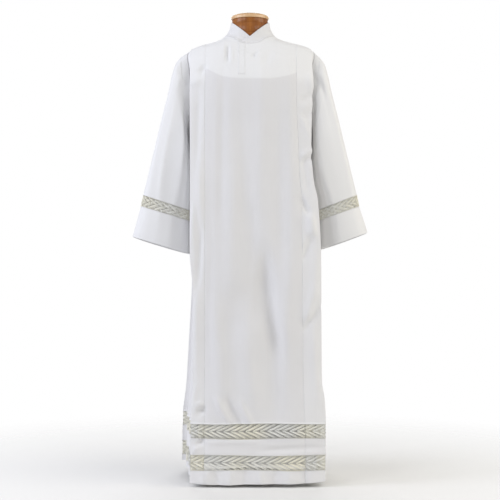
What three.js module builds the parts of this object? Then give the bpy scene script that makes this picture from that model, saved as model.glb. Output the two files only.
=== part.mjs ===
// A full-length alb with box pleats and lace insertions, hung on a limbless tailor's dress form.
// Millimetres, +Z up, the front towards -Y, the origin under the middle of the stand's base.
import * as THREE from "three";

// ---------- Driving sizes ----------
const clothWall = 1.2;
const seamGap = 0.3;
const pleatStep = 1.8; // from one layer of a pleat to the next, middle to middle
const pleatMiddleGap = 1.5; // from a pleat's middle line to each of its two under folds
const neckTop = 1519; // where the shoulder line meets the neck
const neckHalf = 86;
const chestLine = 1390; // rows above this run from the neck and shoulders, rows below are level
const armhole = { middle: 1323, halfHeight: 144, halfDepth: 75, foot: 1225 };
const sleeveStart = 1.5; // the sleeve's first ring stands this far out of the armhole's edge
const sleeveInset = 0.5; // and this far inside it from front to back
const foldOpening = 3; // rings over which the sleeve's long folds open
const cuffFoldShare = 0.8; // how much of the folds is left at the cuff's edge
const sideLine = 0.62; // depth share of the line where the front ends and the side begins
const sideLineDrop = 200; // the line eases from the armhole's foot to that share over this height
// How much higher the hem hangs at its four corners than in the middle.
const hemRise = { left: 4, right: 11, backLeft: 24, backRight: 12 };
const hemCorner = { power: 4, frontShare: 0.8 }; // how sharply the hem rises at a corner, and where
const bandWave = { height: 1.6, length: 190, drift: 30 }; // slow wave of the lace bands
const leastLean = 0.6; // a wall's corner is never drawn out further than this lean allows

// Edges of the skirt's bands, from the top: lace, plain, lace, hem.
const bandEdges = { upperLace: 209, spacer: 161, lowerLace: 105, hem: 57, foot: 10 };

// The body's outline: half widths of the front's corners, depths from the middle, and squareness.
const body = [
  { height: 1519, left: 86, right: 86, front: 60, back: 74, square: 2.2 },
  { height: 1508, left: 100, right: 102, front: 65, back: 83, square: 2.2 },
  { height: 1500, left: 118, right: 124, front: 69, back: 90, square: 2.2 },
  { height: 1494, left: 138, right: 147, front: 72, back: 94, square: 2.25 },
  { height: 1487, left: 163, right: 174, front: 76, back: 98, square: 2.3 },
  { height: 1480, left: 184, right: 196, front: 80, back: 101, square: 2.3 },
  { height: 1472, left: 200, right: 210, front: 85, back: 105, square: 2.35 },
  { height: 1463, left: 211, right: 220, front: 90, back: 108, square: 2.35 },
  { height: 1452, left: 219, right: 226, front: 97, back: 112, square: 2.4 },
  { height: 1435, left: 224, right: 229, front: 105, back: 116, square: 2.5 },
  { height: 1400, left: 222, right: 226, front: 117, back: 122, square: 2.7 },
  { height: 1356, left: 217, right: 220, front: 127, back: 125, square: 3 },
  { height: 1300, left: 212, right: 214, front: 128, back: 126, square: 3.3 },
  { height: 1225, left: 206, right: 207, front: 127, back: 124, square: 3.6 },
  { height: 1135, left: 200, right: 202, front: 128, back: 122, square: 4.2 },
  { height: 1020, left: 197, right: 209, front: 131, back: 124, square: 5 },
  { height: 950, left: 197, right: 223, front: 134, back: 127, square: 5.4 },
  { height: 785, left: 197, right: 232, front: 142, back: 138, square: 6 },
  { height: 650, left: 187, right: 234, front: 149, back: 148, square: 6 },
  { height: 500, left: 185, right: 234, front: 155, back: 156, square: 6 },
  { height: 350, left: 185, right: 235, front: 160, back: 163, square: 6 },
  { height: 290, left: 186, right: 243, front: 163, back: 166, square: 6 },
  { height: 209, left: 192, right: 248, front: 166, back: 169, square: 6 },
  { height: 10, left: 195, right: 246, front: 175, back: 175, square: 6 },
];

// How much wider the back's corners stand than the front's.
const backSpread = [
  { height: 1225, left: 0, right: 0 },
  { height: 785, left: 9, right: -8 },
  { height: 500, left: 27, right: -2 },
  { height: 350, left: 36, right: -1 },
  { height: 209, left: 44, right: 0 },
  { height: 10, left: 46, right: 3 },
];

// The pleats' edges, and how much further out the strip's own corner is than the body's.
const pleats = [
  { height: 1519, innerLeft: 152, outerLeft: 200, innerRight: 157, outerRight: 208, flare: 1 },
  { height: 1480, innerLeft: 152, outerLeft: 200, innerRight: 157, outerRight: 208, flare: 1 },
  { height: 1470, innerLeft: 152, outerLeft: 200, innerRight: 157, outerRight: 208, flare: 1.02 },
  { height: 1455, innerLeft: 152, outerLeft: 201, innerRight: 157, outerRight: 209, flare: 1.05 },
  { height: 1412, innerLeft: 152, outerLeft: 202, innerRight: 157, outerRight: 210, flare: 1.1 },
  { height: 1300, innerLeft: 152, outerLeft: 202, innerRight: 157, outerRight: 209, flare: 1.15 },
  { height: 1135, innerLeft: 152, outerLeft: 201, innerRight: 163, outerRight: 205, flare: 1.2 },
  { height: 1020, innerLeft: 152, outerLeft: 200, innerRight: 168, outerRight: 213, flare: 1.2 },
  { height: 950, innerLeft: 152, outerLeft: 200, innerRight: 175, outerRight: 227, flare: 1.2 },
  { height: 785, innerLeft: 152, outerLeft: 200, innerRight: 175, outerRight: 236, flare: 1.2 },
  { height: 650, innerLeft: 152, outerLeft: 190, innerRight: 176, outerRight: 237, flare: 1.2 },
  { height: 500, innerLeft: 151, outerLeft: 188, innerRight: 177, outerRight: 237, flare: 1.2 },
  { height: 350, innerLeft: 151, outerLeft: 188, innerRight: 178, outerRight: 238, flare: 1.2 },
  { height: 290, innerLeft: 151, outerLeft: 189, innerRight: 180, outerRight: 247, flare: 1.2 },
  { height: 209, innerLeft: 151, outerLeft: 195, innerRight: 182, outerRight: 251, flare: 1.2 },
  { height: 10, innerLeft: 150, outerLeft: 198, innerRight: 184, outerRight: 249, flare: 1.2 },
];

// Upright folds of the skirt's sides: place and width as shares of the depth, and their full depth.
const sideFolds = [
  { hand: -1, at: -0.62, width: 0.16, depth: -20 },
  { hand: -1, at: -0.06, width: 0.15, depth: -16 },
  { hand: -1, at: 0.52, width: 0.16, depth: -16 },
  { hand: 1, at: -0.6, width: 0.16, depth: -16 },
  { hand: 1, at: 0.04, width: 0.16, depth: -20 },
  { hand: 1, at: 0.62, width: 0.15, depth: -13 },
];
const foldRange = { start: 1080, full: 480 }; // the folds open out over these heights

// The front neckline: height of the cut at each distance from the middle.
const neckline = [
  { across: 0, height: 1481 },
  { across: 30, height: 1488 },
  { across: 60, height: 1508 },
  { across: 78, height: 1515 },
  { across: neckHalf, height: neckTop },
];

// Sleeve rings below the armhole: the outer and inner edge, and half the depth.
const sleeveRings = [
  { outer: 238, outerHeight: 1447, innerLeft: 213, innerRight: 215, innerHeight: 1166, left: 82, right: 82 },
  { outer: 254, outerHeight: 1424, innerLeft: 214, innerRight: 217, innerHeight: 1150, left: 86, right: 86 },
  { outer: 266, outerHeight: 1384, innerLeft: 215, innerRight: 219, innerHeight: 1124, left: 88, right: 88 },
  { outer: 279, outerHeight: 1322, innerLeft: 215, innerRight: 221, innerHeight: 1088, left: 87, right: 88 },
  { outer: 301, outerHeight: 1236, innerLeft: 215, innerRight: 226, innerHeight: 1045, left: 83, right: 86 },
  { outer: 326, outerHeight: 1134, innerLeft: 216, innerRight: 234, innerHeight: 1000, left: 76, right: 82 },
  { outer: 348, outerHeight: 1046, innerLeft: 217, innerRight: 240, innerHeight: 957, left: 70, right: 78 },
  { outer: 367, outerHeight: 972, innerLeft: 217, innerRight: 245, innerHeight: 919, left: 65, right: 75 },
];
const laceFoot = {
  outer: 375, outerHeight: 937, innerLeft: 217, innerRight: 246, innerHeight: 885, left: 63, right: 74,
};
const cuffFoot = {
  outer: 404, outerHeight: 831, innerLeft: 214, innerRight: 250, innerHeight: 772, left: 58, right: 71,
};
const rightCuffLift = 14; // the right cuff's foot hangs this much higher than the left's

// Long hollows of the sleeves: place round the ring in degrees from the outer edge over the front.
const sleeveFolds = [
  { hand: -1, at: 62, width: 17, depth: 9 },
  { hand: -1, at: 118, width: 15, depth: 11 },
  { hand: -1, at: 250, width: 20, depth: 9 },
  { hand: 1, at: 70, width: 16, depth: 7 },
  { hand: 1, at: 128, width: 17, depth: 12 },
  { hand: 1, at: 262, width: 20, depth: 9 },
];

const collarSize = {
  baseAcross: 84, baseFront: 74, baseBack: 72, topRadius: 66.9, lift: 1.6,
  frontTop: 1510, sideTop: 1566, endSlant: 24, underEnd: 26, lap: 2.4,
  flarePower: 1.8,
};
const placketSize = { left: -39, right: -17, foot: 1373, wall: 1, above: 1.7 };

// The dress form's torso: half width, depths and squareness.
const torso = [
  { height: 1505, half: 78, front: 60, back: 62, square: 2.2 },
  { height: 1499, half: 100, front: 62, back: 76, square: 2.2 },
  { height: 1492, half: 130, front: 65, back: 84, square: 2.2 },
  { height: 1484, half: 158, front: 69, back: 89, square: 2.2 },
  { height: 1474, half: 182, front: 75, back: 94, square: 2.3 },
  { height: 1462, half: 195, front: 82, back: 99, square: 2.3 },
  { height: 1440, half: 199, front: 93, back: 106, square: 2.4 },
  { height: 1400, half: 192, front: 107, back: 113, square: 2.5 },
  { height: 1350, half: 183, front: 117, back: 116, square: 2.6 },
  { height: 1290, half: 176, front: 118, back: 116, square: 2.6 },
  { height: 1190, half: 165, front: 113, back: 110, square: 2.5 },
  { height: 1080, half: 150, front: 104, back: 101, square: 2.4 },
  { height: 960, half: 162, front: 108, back: 110, square: 2.4 },
  { height: 860, half: 170, front: 114, back: 118, square: 2.4 },
  { height: 810, half: 168, front: 113, back: 116, square: 2.4 },
  { height: 796, half: 158, front: 104, back: 107, square: 2.4 },
];
const torsoSegments = 32;

const neckBlock = { radius: 62, foot: 1505.3, top: 1575.7, groove: 1526, bevel: 1 };
const neckCap = { radius: 65, foot: 1576, edge: 8, top: 1598, bevel: 1.5 };
const pole = { radius: 13, foot: 26.3, top: 795.7 };
const base = { radius: 130, rim: 14, hubRadius: 32, top: 26, bevel: 3 };

// ---------- Materials ----------
const cloth = new THREE.MeshStandardMaterial({ color: 0xe9e9ea, roughness: 0.85 });
const lace = new THREE.MeshStandardMaterial({ color: 0xd3d0bd, roughness: 0.8 });
const formCloth = new THREE.MeshStandardMaterial({ color: 0xd8cfbd, roughness: 0.9 });
const neckWood = new THREE.MeshStandardMaterial({ color: 0xa5662f, roughness: 0.35 });
const capWood = new THREE.MeshStandardMaterial({ color: 0xc99a5c, roughness: 0.35 });
const poleSteel = new THREE.MeshStandardMaterial({ color: 0x9a9a9c, roughness: 0.4, metalness: 1 });
const baseIron = new THREE.MeshStandardMaterial({ color: 0x2c2c2e, roughness: 0.6 });

const alb = new THREE.Group();
const form = new THREE.Group();

function addPiece(group, name, geometry, material) {
  const mesh = new THREE.Mesh(geometry, material);
  mesh.name = name;
  group.add(mesh);
}

// ---------- Reading the tables ----------

// A column's value at a key, eased through the rows so that no row shows as a kink.
function readTable(rows, column, value, key = "height") {
  const rising = rows[0][key] < rows[1][key];
  const ordered = rising ? rows : [...rows].reverse();
  const last = ordered.length - 1;
  if (value <= ordered[0][key]) return ordered[0][column];
  if (value >= ordered[last][key]) return ordered[last][column];
  const i = ordered.findIndex((row) => row[key] > value) - 1;
  const slope = (a, b) => (ordered[b][column] - ordered[a][column]) / (ordered[b][key] - ordered[a][key]);
  const here = slope(i, i + 1);
  const ease = (a, b) => (a * b > 0 ? (2 * a * b) / (a + b) : 0);
  const before = i > 0 ? ease(slope(i - 1, i), here) : here;
  const after = i + 1 < last ? ease(here, slope(i + 1, i + 2)) : here;
  const span = ordered[i + 1][key] - ordered[i][key];
  const t = (value - ordered[i][key]) / span;
  const start = ordered[i][column];
  const end = ordered[i + 1][column];
  return (
    start * (2 * t ** 3 - 3 * t ** 2 + 1) +
    before * span * (t ** 3 - 2 * t ** 2 + t) +
    end * (3 * t ** 2 - 2 * t ** 3) +
    after * span * (t ** 3 - t ** 2)
  );
}

const mix = (a, b, t) => a + (b - a) * t;
const smooth = (t) => {
  const c = Math.min(1, Math.max(0, t));
  return c * c * (3 - 2 * c);
};
const handColumn = (hand) => (hand < 0 ? "left" : "right");
const pairColumn = (word, hand) => word + (hand < 0 ? "Left" : "Right");

// ---------- The body's surface ----------

// hand is -1 at the left and 1 at the right; face is -1 in front and 1 behind.
const cornerHalf = (hand, height) => readTable(body, handColumn(hand), height);
const depthOf = (face, height) => readTable(body, face < 0 ? "front" : "back", height);
const squareOf = (height) => readTable(body, "square", height);

function sideFoldDepth(hand, place, height) {
  const open = smooth((foldRange.start - height) / (foldRange.start - foldRange.full));
  return sideFolds
    .filter((fold) => fold.hand === hand)
    .reduce((sum, fold) => sum + open * fold.depth * Math.exp(-(((place - fold.at) / fold.width) ** 2)), 0);
}

// How much wider the body is at a depth y than in front.
function spreadAt(hand, y, height) {
  const toBack = (y + depthOf(-1, height)) / (depthOf(-1, height) + depthOf(1, height));
  return toBack * readTable(backSpread, handColumn(hand), height);
}

// The point at the shares (across, deep) of the body's half width and depth at a height.
function bodyPoint(hand, face, across, deep, height) {
  const y = face * deep * depthOf(face, height);
  const half = cornerHalf(hand, height) + spreadAt(hand, y, height);
  const fold = across ** 8 * sideFoldDepth(hand, face * deep, height);
  return new THREE.Vector3(hand * (across * half + fold), y, height);
}

const otherShare = (share, square) => Math.max(0, 1 - Math.min(1, share) ** square) ** (1 / square);

// The point at a distance x from the middle, on the body or on a section that is wider by flare.
function pointAcross(hand, face, x, height, flare = 1) {
  const half = cornerHalf(hand, height);
  const deep = otherShare(x / (half * flare), squareOf(height));
  if (flare === 1) return bodyPoint(hand, face, Math.min(1, x / half), deep, height);
  const y = face * deep * depthOf(face, height);
  return new THREE.Vector3(hand * x * (1 + spreadAt(hand, y, height) / half), y, height);
}

// The direction straight out of the section that passes through a point.
function outward(hand, face, point, flare = 1) {
  const step = 2;
  const square = squareOf(point.z);
  const fill = (height) =>
    (Math.abs(point.x) / (cornerHalf(hand, height) * flare)) ** square +
    (Math.abs(point.y) / depthOf(face, height)) ** square;
  const half = cornerHalf(hand, point.z) * flare;
  const depth = depthOf(face, point.z);
  return new THREE.Vector3(
    (hand * square * (Math.abs(point.x) / half) ** (square - 1)) / half,
    (face * square * (Math.abs(point.y) / depth) ** (square - 1)) / depth,
    (fill(point.z + step) - fill(point.z - step)) / (2 * step),
  ).normalize();
}

const lifted = (hand, face, point, distance, flare) =>
  point.clone().addScaledVector(outward(hand, face, point, flare), distance);

// Height of the shoulder seam at a distance from the middle.
function shoulderHeight(hand, x) {
  let [low, high] = [1455, neckTop];
  for (let i = 0; i < 40; i++) {
    const middle = (low + high) / 2;
    if (cornerHalf(hand, middle) > x) low = middle;
    else high = middle;
  }
  return high;
}

const armholeTop = armhole.middle + armhole.halfHeight;
const armholeDepth = (height) =>
  armhole.halfDepth * Math.sqrt(Math.max(0, 1 - ((height - armhole.middle) / armhole.halfHeight) ** 2));
const armholeFootDepth = armholeDepth(armhole.foot);

// Depth share of the line that ends the front: the armhole's edge, then the side line below it.
function edgeShare(face, height) {
  if (height >= armholeTop) return 0;
  if (height >= armhole.foot) return armholeDepth(height) / depthOf(face, height);
  const start = armholeFootDepth / depthOf(face, armhole.foot);
  return mix(start, sideLine, smooth((armhole.foot - height) / sideLineDrop));
}

function edgeAcross(hand, face, height) {
  if (height >= armholeTop) return cornerHalf(hand, armholeTop);
  return cornerHalf(hand, height) * otherShare(edgeShare(face, height), squareOf(height));
}

// ---------- A panel's columns ----------

// Each column gives its top height on the neckline or shoulder and its point at any height below.
function panelColumns(hand, face, flatPlaces) {
  const inner = (height) => readTable(pleats, pairColumn("inner", hand), height);
  const outer = (height) => readTable(pleats, pairColumn("outer", hand), height);
  const flare = (height) => readTable(pleats, "flare", height);
  const middle = (height) => (inner(height) + outer(height)) / 2;
  const neck = (x) => (face < 0 ? readTable(neckline, "height", x, "across") : neckTop);
  const topAt = (x) => (x <= neckHalf ? neck(x) : shoulderHeight(hand, x));

  const onBody = (place, layer = 0) => ({
    top: topAt(place(neckTop)),
    at: (height) => {
      const point = pointAcross(hand, face, place(height), height);
      return layer ? lifted(hand, face, point, layer * pleatStep) : point;
    },
  });
  const onStrip = (place, layer) => ({
    top: topAt(place(neckTop)),
    at: (height) => {
      const wider = flare(height);
      const point = pointAcross(hand, face, place(height), height, wider);
      return lifted(hand, face, point, layer * pleatStep, wider);
    },
  });
  const toEdge = (share) => {
    const start = (height) => middle(height) + pleatMiddleGap;
    return onBody((height) => mix(start(height), edgeAcross(hand, face, height), share));
  };
  const onSide = (share) => ({
    side: true,
    footDepth: armholeFootDepth * (1 - share),
    at: (height) => {
      const deep = edgeShare(face, height) * (1 - share);
      return bodyPoint(hand, face, otherShare(deep, squareOf(height)), deep, height);
    },
  });
  return [
    ...flatPlaces.map((x) => onBody(() => x)),
    onBody((height) => middle(height) - pleatMiddleGap),
    onBody((height) => middle(height) - pleatMiddleGap, 1),
    onBody(inner, 1),
    onStrip(inner, 2),
    onStrip(middle, 2),
    onStrip(outer, 2),
    onStrip(outer, 1),
    onBody((height) => middle(height) + pleatMiddleGap, 1),
    onBody((height) => middle(height) + pleatMiddleGap),
    ...[0.4, 0.75, 1].map(toEdge),
    ...[0.25, 0.5, 0.75, 1].map(onSide),
  ];
}

// All columns of a front or back, in order from its left to its right as its face is seen.
function fullPanel(face, flatPlaces) {
  const start = panelColumns(face < 0 ? -1 : 1, face, flatPlaces).reverse();
  const end = panelColumns(face < 0 ? 1 : -1, face, flatPlaces);
  const [centre] = panelColumns(1, face, [0]);
  return [...start, centre, ...end];
}

// ---------- Turning a grid of points into a wall ----------

function wallFrom(grid, { closed = false, thickness = clothWall, trim = (point) => point } = {}) {
  const columns = grid[0].length;
  const wide = closed ? columns : columns - 1;
  const faces = [];
  const key = (i, j) => i * columns + (j % columns);
  const pointOf = (k) => grid[Math.floor(k / columns)][k % columns];
  for (let i = 0; i + 1 < grid.length; i++)
    for (let j = 0; j < wide; j++) {
      const corners = [key(i, j), key(i + 1, j), key(i + 1, j + 1), key(i, j + 1)];
      if (corners.every((k) => pointOf(k))) faces.push(corners);
    }
  const used = [...new Set(faces.flat())];
  const order = new Map(used.map((k, n) => [k, n]));
  const normals = used.map(() => []);
  for (const corners of faces) {
    const [a, b, c, d] = corners.map(pointOf);
    const normal = c.clone().sub(a).cross(d.clone().sub(b)).normalize();
    corners.forEach((k) => normals[order.get(k)].push(normal));
  }
  const offsets = normals.map((around) => {
    const mean = around.reduce((sum, n) => sum.add(n), new THREE.Vector3()).normalize();
    const lean = Math.min(...around.map((n) => n.dot(mean)));
    return mean.multiplyScalar(thickness / 2 / Math.max(leastLean, lean));
  });
  const outside = used.map((k, n) => trim(pointOf(k).clone().add(offsets[n])));
  const inside = used.map((k, n) => trim(pointOf(k).clone().sub(offsets[n])));
  const triangles = [];
  const quad = (a, b, c, d) => triangles.push(a, b, c, a, c, d);
  const count = used.length;
  const edges = new Map();
  for (const corners of faces) {
    const [a, b, c, d] = corners.map((k) => order.get(k));
    quad(a, b, c, d);
    quad(count + d, count + c, count + b, count + a);
    for (const [from, to] of [[a, b], [b, c], [c, d], [d, a]]) edges.set(from + " " + to, [from, to]);
  }
  for (const [from, to] of edges.values())
    if (!edges.has(to + " " + from)) quad(to, from, count + from, count + to);
  return meshFrom([...outside, ...inside], triangles);
}

// A closed geometry with its faces outwards, whichever way its grid ran.
function meshFrom(points, triangles) {
  let volume = 0;
  for (let i = 0; i < triangles.length; i += 3) {
    const [a, b, c] = [0, 1, 2].map((n) => points[triangles[i + n]]);
    volume += a.dot(b.clone().cross(c));
  }
  if (volume < 0) triangles.reverse();
  return new THREE.BufferGeometry()
    .setAttribute("position", new THREE.Float32BufferAttribute(points.flatMap((p) => p.toArray()), 3))
    .setIndex(triangles);
}

// ---------- Front, back and the skirt's bands ----------

const faces = { front: -1, back: 1 };
const upperShares = [0, 0.05, 0.16, 0.36, 0.64, 1];
const flatColumns = [30, 60, neckHalf, 146]; // distances from the middle of the columns before the pleat
const lowerRows = [1300, 1120, 1010, 900, 785, 650, 500, 350];

// An edge's height where it passes a point: it waves a little, and rises at the hem's corners.
function edgeHeight(level, point) {
  const half = cornerHalf(Math.sign(point.x) || 1, level);
  const corner = Math.min(1, Math.abs(point.x) / half) ** hemCorner.power;
  const toBack = smooth(point.y / depthOf(-1, level) + hemCorner.frontShare);
  const [front, back] = point.x < 0 ? [hemRise.left, hemRise.backLeft] : [hemRise.right, hemRise.backRight];
  const hemShare = (bandEdges.lowerLace - level) / (bandEdges.lowerLace - bandEdges.foot);
  const share = smooth(hemShare) ** hemCorner.power;
  const wave = bandWave.height * Math.sin((point.x * Math.PI) / bandWave.length + level / bandWave.drift);
  return level + wave + share * corner * mix(front, back, toBack);
}

const cutAtSides = (face) => (point) =>
  face < 0 ? point.setY(Math.min(point.y, -seamGap / 2)) : point.setY(Math.max(point.y, seamGap / 2));

function columnAt(column, level, offset) {
  return column.at(edgeHeight(level, column.at(level)) + offset);
}

function mainPanel(face) {
  const columns = fullPanel(face, flatColumns);
  const rows = upperShares.map((share) =>
    columns.map((column) => (column.side ? null : column.at(mix(column.top, chestLine, share)))),
  );
  for (const height of lowerRows.filter((h) => h > armhole.foot))
    rows.push(columns.map((column) => (column.side ? null : column.at(height))));
  rows.push(
    columns.map((column) => {
      if (!column.side) return column.at(armhole.foot);
      const drop = armhole.halfHeight * Math.sqrt(1 - (column.footDepth / armhole.halfDepth) ** 2);
      const height = armhole.middle - drop;
      const side = column.at(height);
      return side.setY(face * column.footDepth);
    }),
  );
  for (const height of lowerRows.filter((h) => h < armhole.foot))
    rows.push(columns.map((column) => column.at(height)));
  rows.push(columns.map((column) => columnAt(column, bandEdges.upperLace, seamGap / 2)));
  return wallFrom(rows, { trim: cutAtSides(face) });
}

function bandPiece(face, top, foot) {
  const columns = fullPanel(face, flatColumns);
  const rows = [
    columns.map((column) => columnAt(column, top, -seamGap / 2)),
    columns.map((column) => columnAt(column, foot, foot === bandEdges.foot ? 0 : seamGap / 2)),
  ];
  return wallFrom(rows, { trim: cutAtSides(face) });
}

for (const [name, face] of Object.entries(faces)) {
  addPiece(alb, name + "_panel", mainPanel(face), cloth);
  addPiece(alb, name + "_upper_lace", bandPiece(face, bandEdges.upperLace, bandEdges.spacer), lace);
  addPiece(alb, name + "_spacer_band", bandPiece(face, bandEdges.spacer, bandEdges.lowerLace), cloth);
  addPiece(alb, name + "_lower_lace", bandPiece(face, bandEdges.lowerLace, bandEdges.hem), lace);
  addPiece(alb, name + "_hem_band", bandPiece(face, bandEdges.hem, bandEdges.foot), cloth);
}

// ---------- Placket: a strip lying on the front, below the neckline ----------

function placketGeometry() {
  const places = [placketSize.left, (placketSize.left + placketSize.right) / 2, placketSize.right];
  const onPanel = (x, height) => lifted(-1, -1, pointAcross(-1, -1, -x, height), placketSize.above);
  const neckAt = (x) => readTable(neckline, "height", -x, "across");
  const grid = upperShares.map((share) => places.map((x) => onPanel(x, mix(neckAt(x), chestLine, share))));
  grid.push(places.map((x) => onPanel(x, placketSize.foot)));
  return wallFrom(grid, { thickness: placketSize.wall });
}
addPiece(alb, "placket", placketGeometry(), cloth);

// ---------- Collar: one band, its right end lapped over the left ----------

function collarGeometry() {
  const steps = 30;
  const levels = [0, 0.4, 1];
  const start = -collarSize.endSlant;
  const finish = 360 + collarSize.underEnd;
  const grid = levels.map((level) =>
    Array.from({ length: steps + 1 }, (_, i) => {
      const slant = collarSize.endSlant * level;
      const degrees = mix(start + slant, finish, i / steps);
      const turn = THREE.MathUtils.degToRad(degrees);
      const inward = collarSize.lap * (i / steps);
      const baseDeep = Math.cos(turn) > 0 ? collarSize.baseFront : collarSize.baseBack;
      const across = Math.abs(Math.sin(turn));
      const front = Math.cos(turn) > 0;
      const foot =
        (front ? readTable(neckline, "height", neckHalf * across, "across") : neckTop) + collarSize.lift;
      const rise = front ? mix(collarSize.frontTop, collarSize.sideTop, across) : collarSize.sideTop;
      const spread = (1 - level) ** collarSize.flarePower;
      const radiusX = mix(collarSize.topRadius, collarSize.baseAcross, spread) - inward;
      const radiusY = mix(collarSize.topRadius, baseDeep, spread) - inward;
      return new THREE.Vector3(
        radiusX * Math.sin(turn),
        -radiusY * Math.cos(turn),
        mix(foot, rise, level),
      );
    }),
  );
  return wallFrom(grid);
}
addPiece(alb, "collar", collarGeometry(), cloth);

// ---------- Sleeves ----------

const ringSteps = 20;
const ringSquare = 2.3;
const signedPower = (value, power) => Math.sign(value) * Math.abs(value) ** power;

// The sleeve's first ring follows the armhole's edge.
function armholeRing(hand) {
  const halfHeight = armhole.halfHeight - sleeveStart;
  const halfDepth = armhole.halfDepth - sleeveInset;
  return Array.from({ length: ringSteps }, (_, i) => {
    const turn = (2 * Math.PI * i) / ringSteps;
    const height = armhole.middle + halfHeight * Math.cos(turn);
    const y = -halfDepth * Math.sin(turn);
    const face = y < 0 ? -1 : 1;
    const deep = Math.abs(y) / depthOf(face, height);
    const point = bodyPoint(hand, face, otherShare(deep, squareOf(height)), deep, height);
    return point.setX(point.x + hand * sleeveStart);
  });
}

function sleeveRing(hand, size, open) {
  const inner = size[pairColumn("inner", hand)];
  const top = new THREE.Vector3(hand * size.outer, 0, size.outerHeight);
  const foot = new THREE.Vector3(hand * inner, 0, size.innerHeight);
  const centre = top.clone().add(foot).multiplyScalar(0.5);
  const half = top.clone().sub(centre);
  const depth = size[handColumn(hand)];
  return Array.from({ length: ringSteps }, (_, i) => {
    const degrees = (360 * i) / ringSteps;
    const turn = THREE.MathUtils.degToRad(degrees);
    const along = signedPower(Math.cos(turn), 2 / ringSquare);
    const deep = signedPower(Math.sin(turn), 2 / ringSquare);
    const hollow = sleeveFolds
      .filter((fold) => fold.hand === hand)
      .map((fold) => open * fold.depth * Math.exp(-(((degrees - fold.at) / fold.width) ** 2)))
      .reduce((sum, depth) => sum + depth, 0);
    const point = half.clone().multiplyScalar(along).add(new THREE.Vector3(0, -depth * deep, 0));
    return point.multiplyScalar(1 - hollow / point.length()).add(centre);
  });
}

// A ring moved along the sleeve by a small distance, towards the ring that comes next.
const shifted = (ring, next, distance) =>
  ring.map((point, i) => point.clone().addScaledVector(next[i].clone().sub(point).normalize(), distance));

for (const [name, hand] of [["left", -1], ["right", 1]]) {
  const rings = sleeveRings.map((size, i) => sleeveRing(hand, size, smooth((i + 1) / foldOpening)));
  const laceTop = rings[rings.length - 1];
  const laceEnd = sleeveRing(hand, laceFoot, 1);
  const cuffLift = hand > 0 ? rightCuffLift : 0;
  const cuffEnd = sleeveRing(hand, cuffFoot, cuffFoldShare).map((point) => point.setZ(point.z + cuffLift));
  const half = seamGap / 2;
  const beforeLace = rings[rings.length - 2];
  const sleeve = [armholeRing(hand), ...rings.slice(0, -1), shifted(laceTop, beforeLace, half)];
  addPiece(alb, name + "_sleeve", wallFrom(sleeve, { closed: true }), cloth);
  const laceRings = [shifted(laceTop, laceEnd, half), shifted(laceEnd, laceTop, half)];
  addPiece(alb, name + "_cuff_lace", wallFrom(laceRings, { closed: true }), lace);
  const cuffRings = [shifted(laceEnd, cuffEnd, half), cuffEnd];
  addPiece(alb, name + "_cuff", wallFrom(cuffRings, { closed: true }), cloth);
}

// ---------- Dress form and stand ----------

function torsoGeometry() {
  const points = torso.flatMap((row) =>
    Array.from({ length: torsoSegments }, (_, i) => {
      const turn = (2 * Math.PI * i) / torsoSegments;
      const across = signedPower(Math.cos(turn), 2 / row.square);
      const deep = signedPower(Math.sin(turn), 2 / row.square);
      return new THREE.Vector3(row.half * across, deep * (deep < 0 ? row.front : row.back), row.height);
    }),
  );
  const triangles = [];
  for (let i = 0; i + 1 < torso.length; i++)
    for (let j = 0; j < torsoSegments; j++) {
      const next = (j + 1) % torsoSegments;
      const [a, b] = [i * torsoSegments + j, i * torsoSegments + next];
      const [c, d] = [b + torsoSegments, a + torsoSegments];
      triangles.push(a, c, b, a, d, c);
    }
  const lastRing = (torso.length - 1) * torsoSegments;
  for (let j = 1; j + 1 < torsoSegments; j++) {
    triangles.push(0, j, j + 1);
    triangles.push(lastRing, lastRing + j + 1, lastRing + j);
  }
  return meshFrom(points, triangles);
}

// A turned piece: its profile runs up the outside from axis to axis.
function turned(profile, segments) {
  const geometry = new THREE.LatheGeometry(
    profile.map(([radius, height]) => new THREE.Vector2(radius, height)),
    segments,
  );
  return geometry.rotateX(Math.PI / 2);
}

const grooveDepth = 0.8;
const capProfile = [
  [0, neckCap.foot],
  [neckCap.radius - neckCap.bevel, neckCap.foot],
  [neckCap.radius, neckCap.foot + neckCap.bevel],
  [neckCap.radius, neckCap.foot + neckCap.edge],
  ...[20, 40, 60, 75].map((degrees) => {
    const turn = THREE.MathUtils.degToRad(degrees);
    const rise = neckCap.top - neckCap.foot - neckCap.edge;
    return [neckCap.radius * Math.cos(turn), neckCap.foot + neckCap.edge + rise * Math.sin(turn)];
  }),
  [0, neckCap.top],
];
const neckProfile = [
  [0, neckBlock.foot],
  [neckBlock.radius, neckBlock.foot],
  [neckBlock.radius, neckBlock.groove - grooveDepth],
  [neckBlock.radius - grooveDepth, neckBlock.groove],
  [neckBlock.radius, neckBlock.groove + grooveDepth],
  [neckBlock.radius, neckBlock.top - neckBlock.bevel],
  [neckBlock.radius - neckBlock.bevel, neckBlock.top],
  [0, neckBlock.top],
];
const poleProfile = [
  [0, pole.foot],
  [pole.radius, pole.foot],
  [pole.radius, pole.top],
  [0, pole.top],
];
const baseProfile = [
  [0, 0],
  [base.radius - base.bevel, 0],
  [base.radius, base.bevel],
  [base.radius, base.rim - base.bevel],
  [base.radius - base.bevel, base.rim],
  [base.hubRadius + base.bevel, base.top - base.bevel],
  [base.hubRadius, base.top],
  [0, base.top],
];
addPiece(form, "form_torso", torsoGeometry(), formCloth);
addPiece(form, "form_neck", turned(neckProfile, 40), neckWood);
addPiece(form, "form_cap", turned(capProfile, 40), capWood);
addPiece(form, "stand_pole", turned(poleProfile, 20), poleSteel);
addPiece(form, "stand_base", turned(baseProfile, 40), baseIron);

const robe = new THREE.Group();
robe.add(alb, form);

export default robe;
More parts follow.
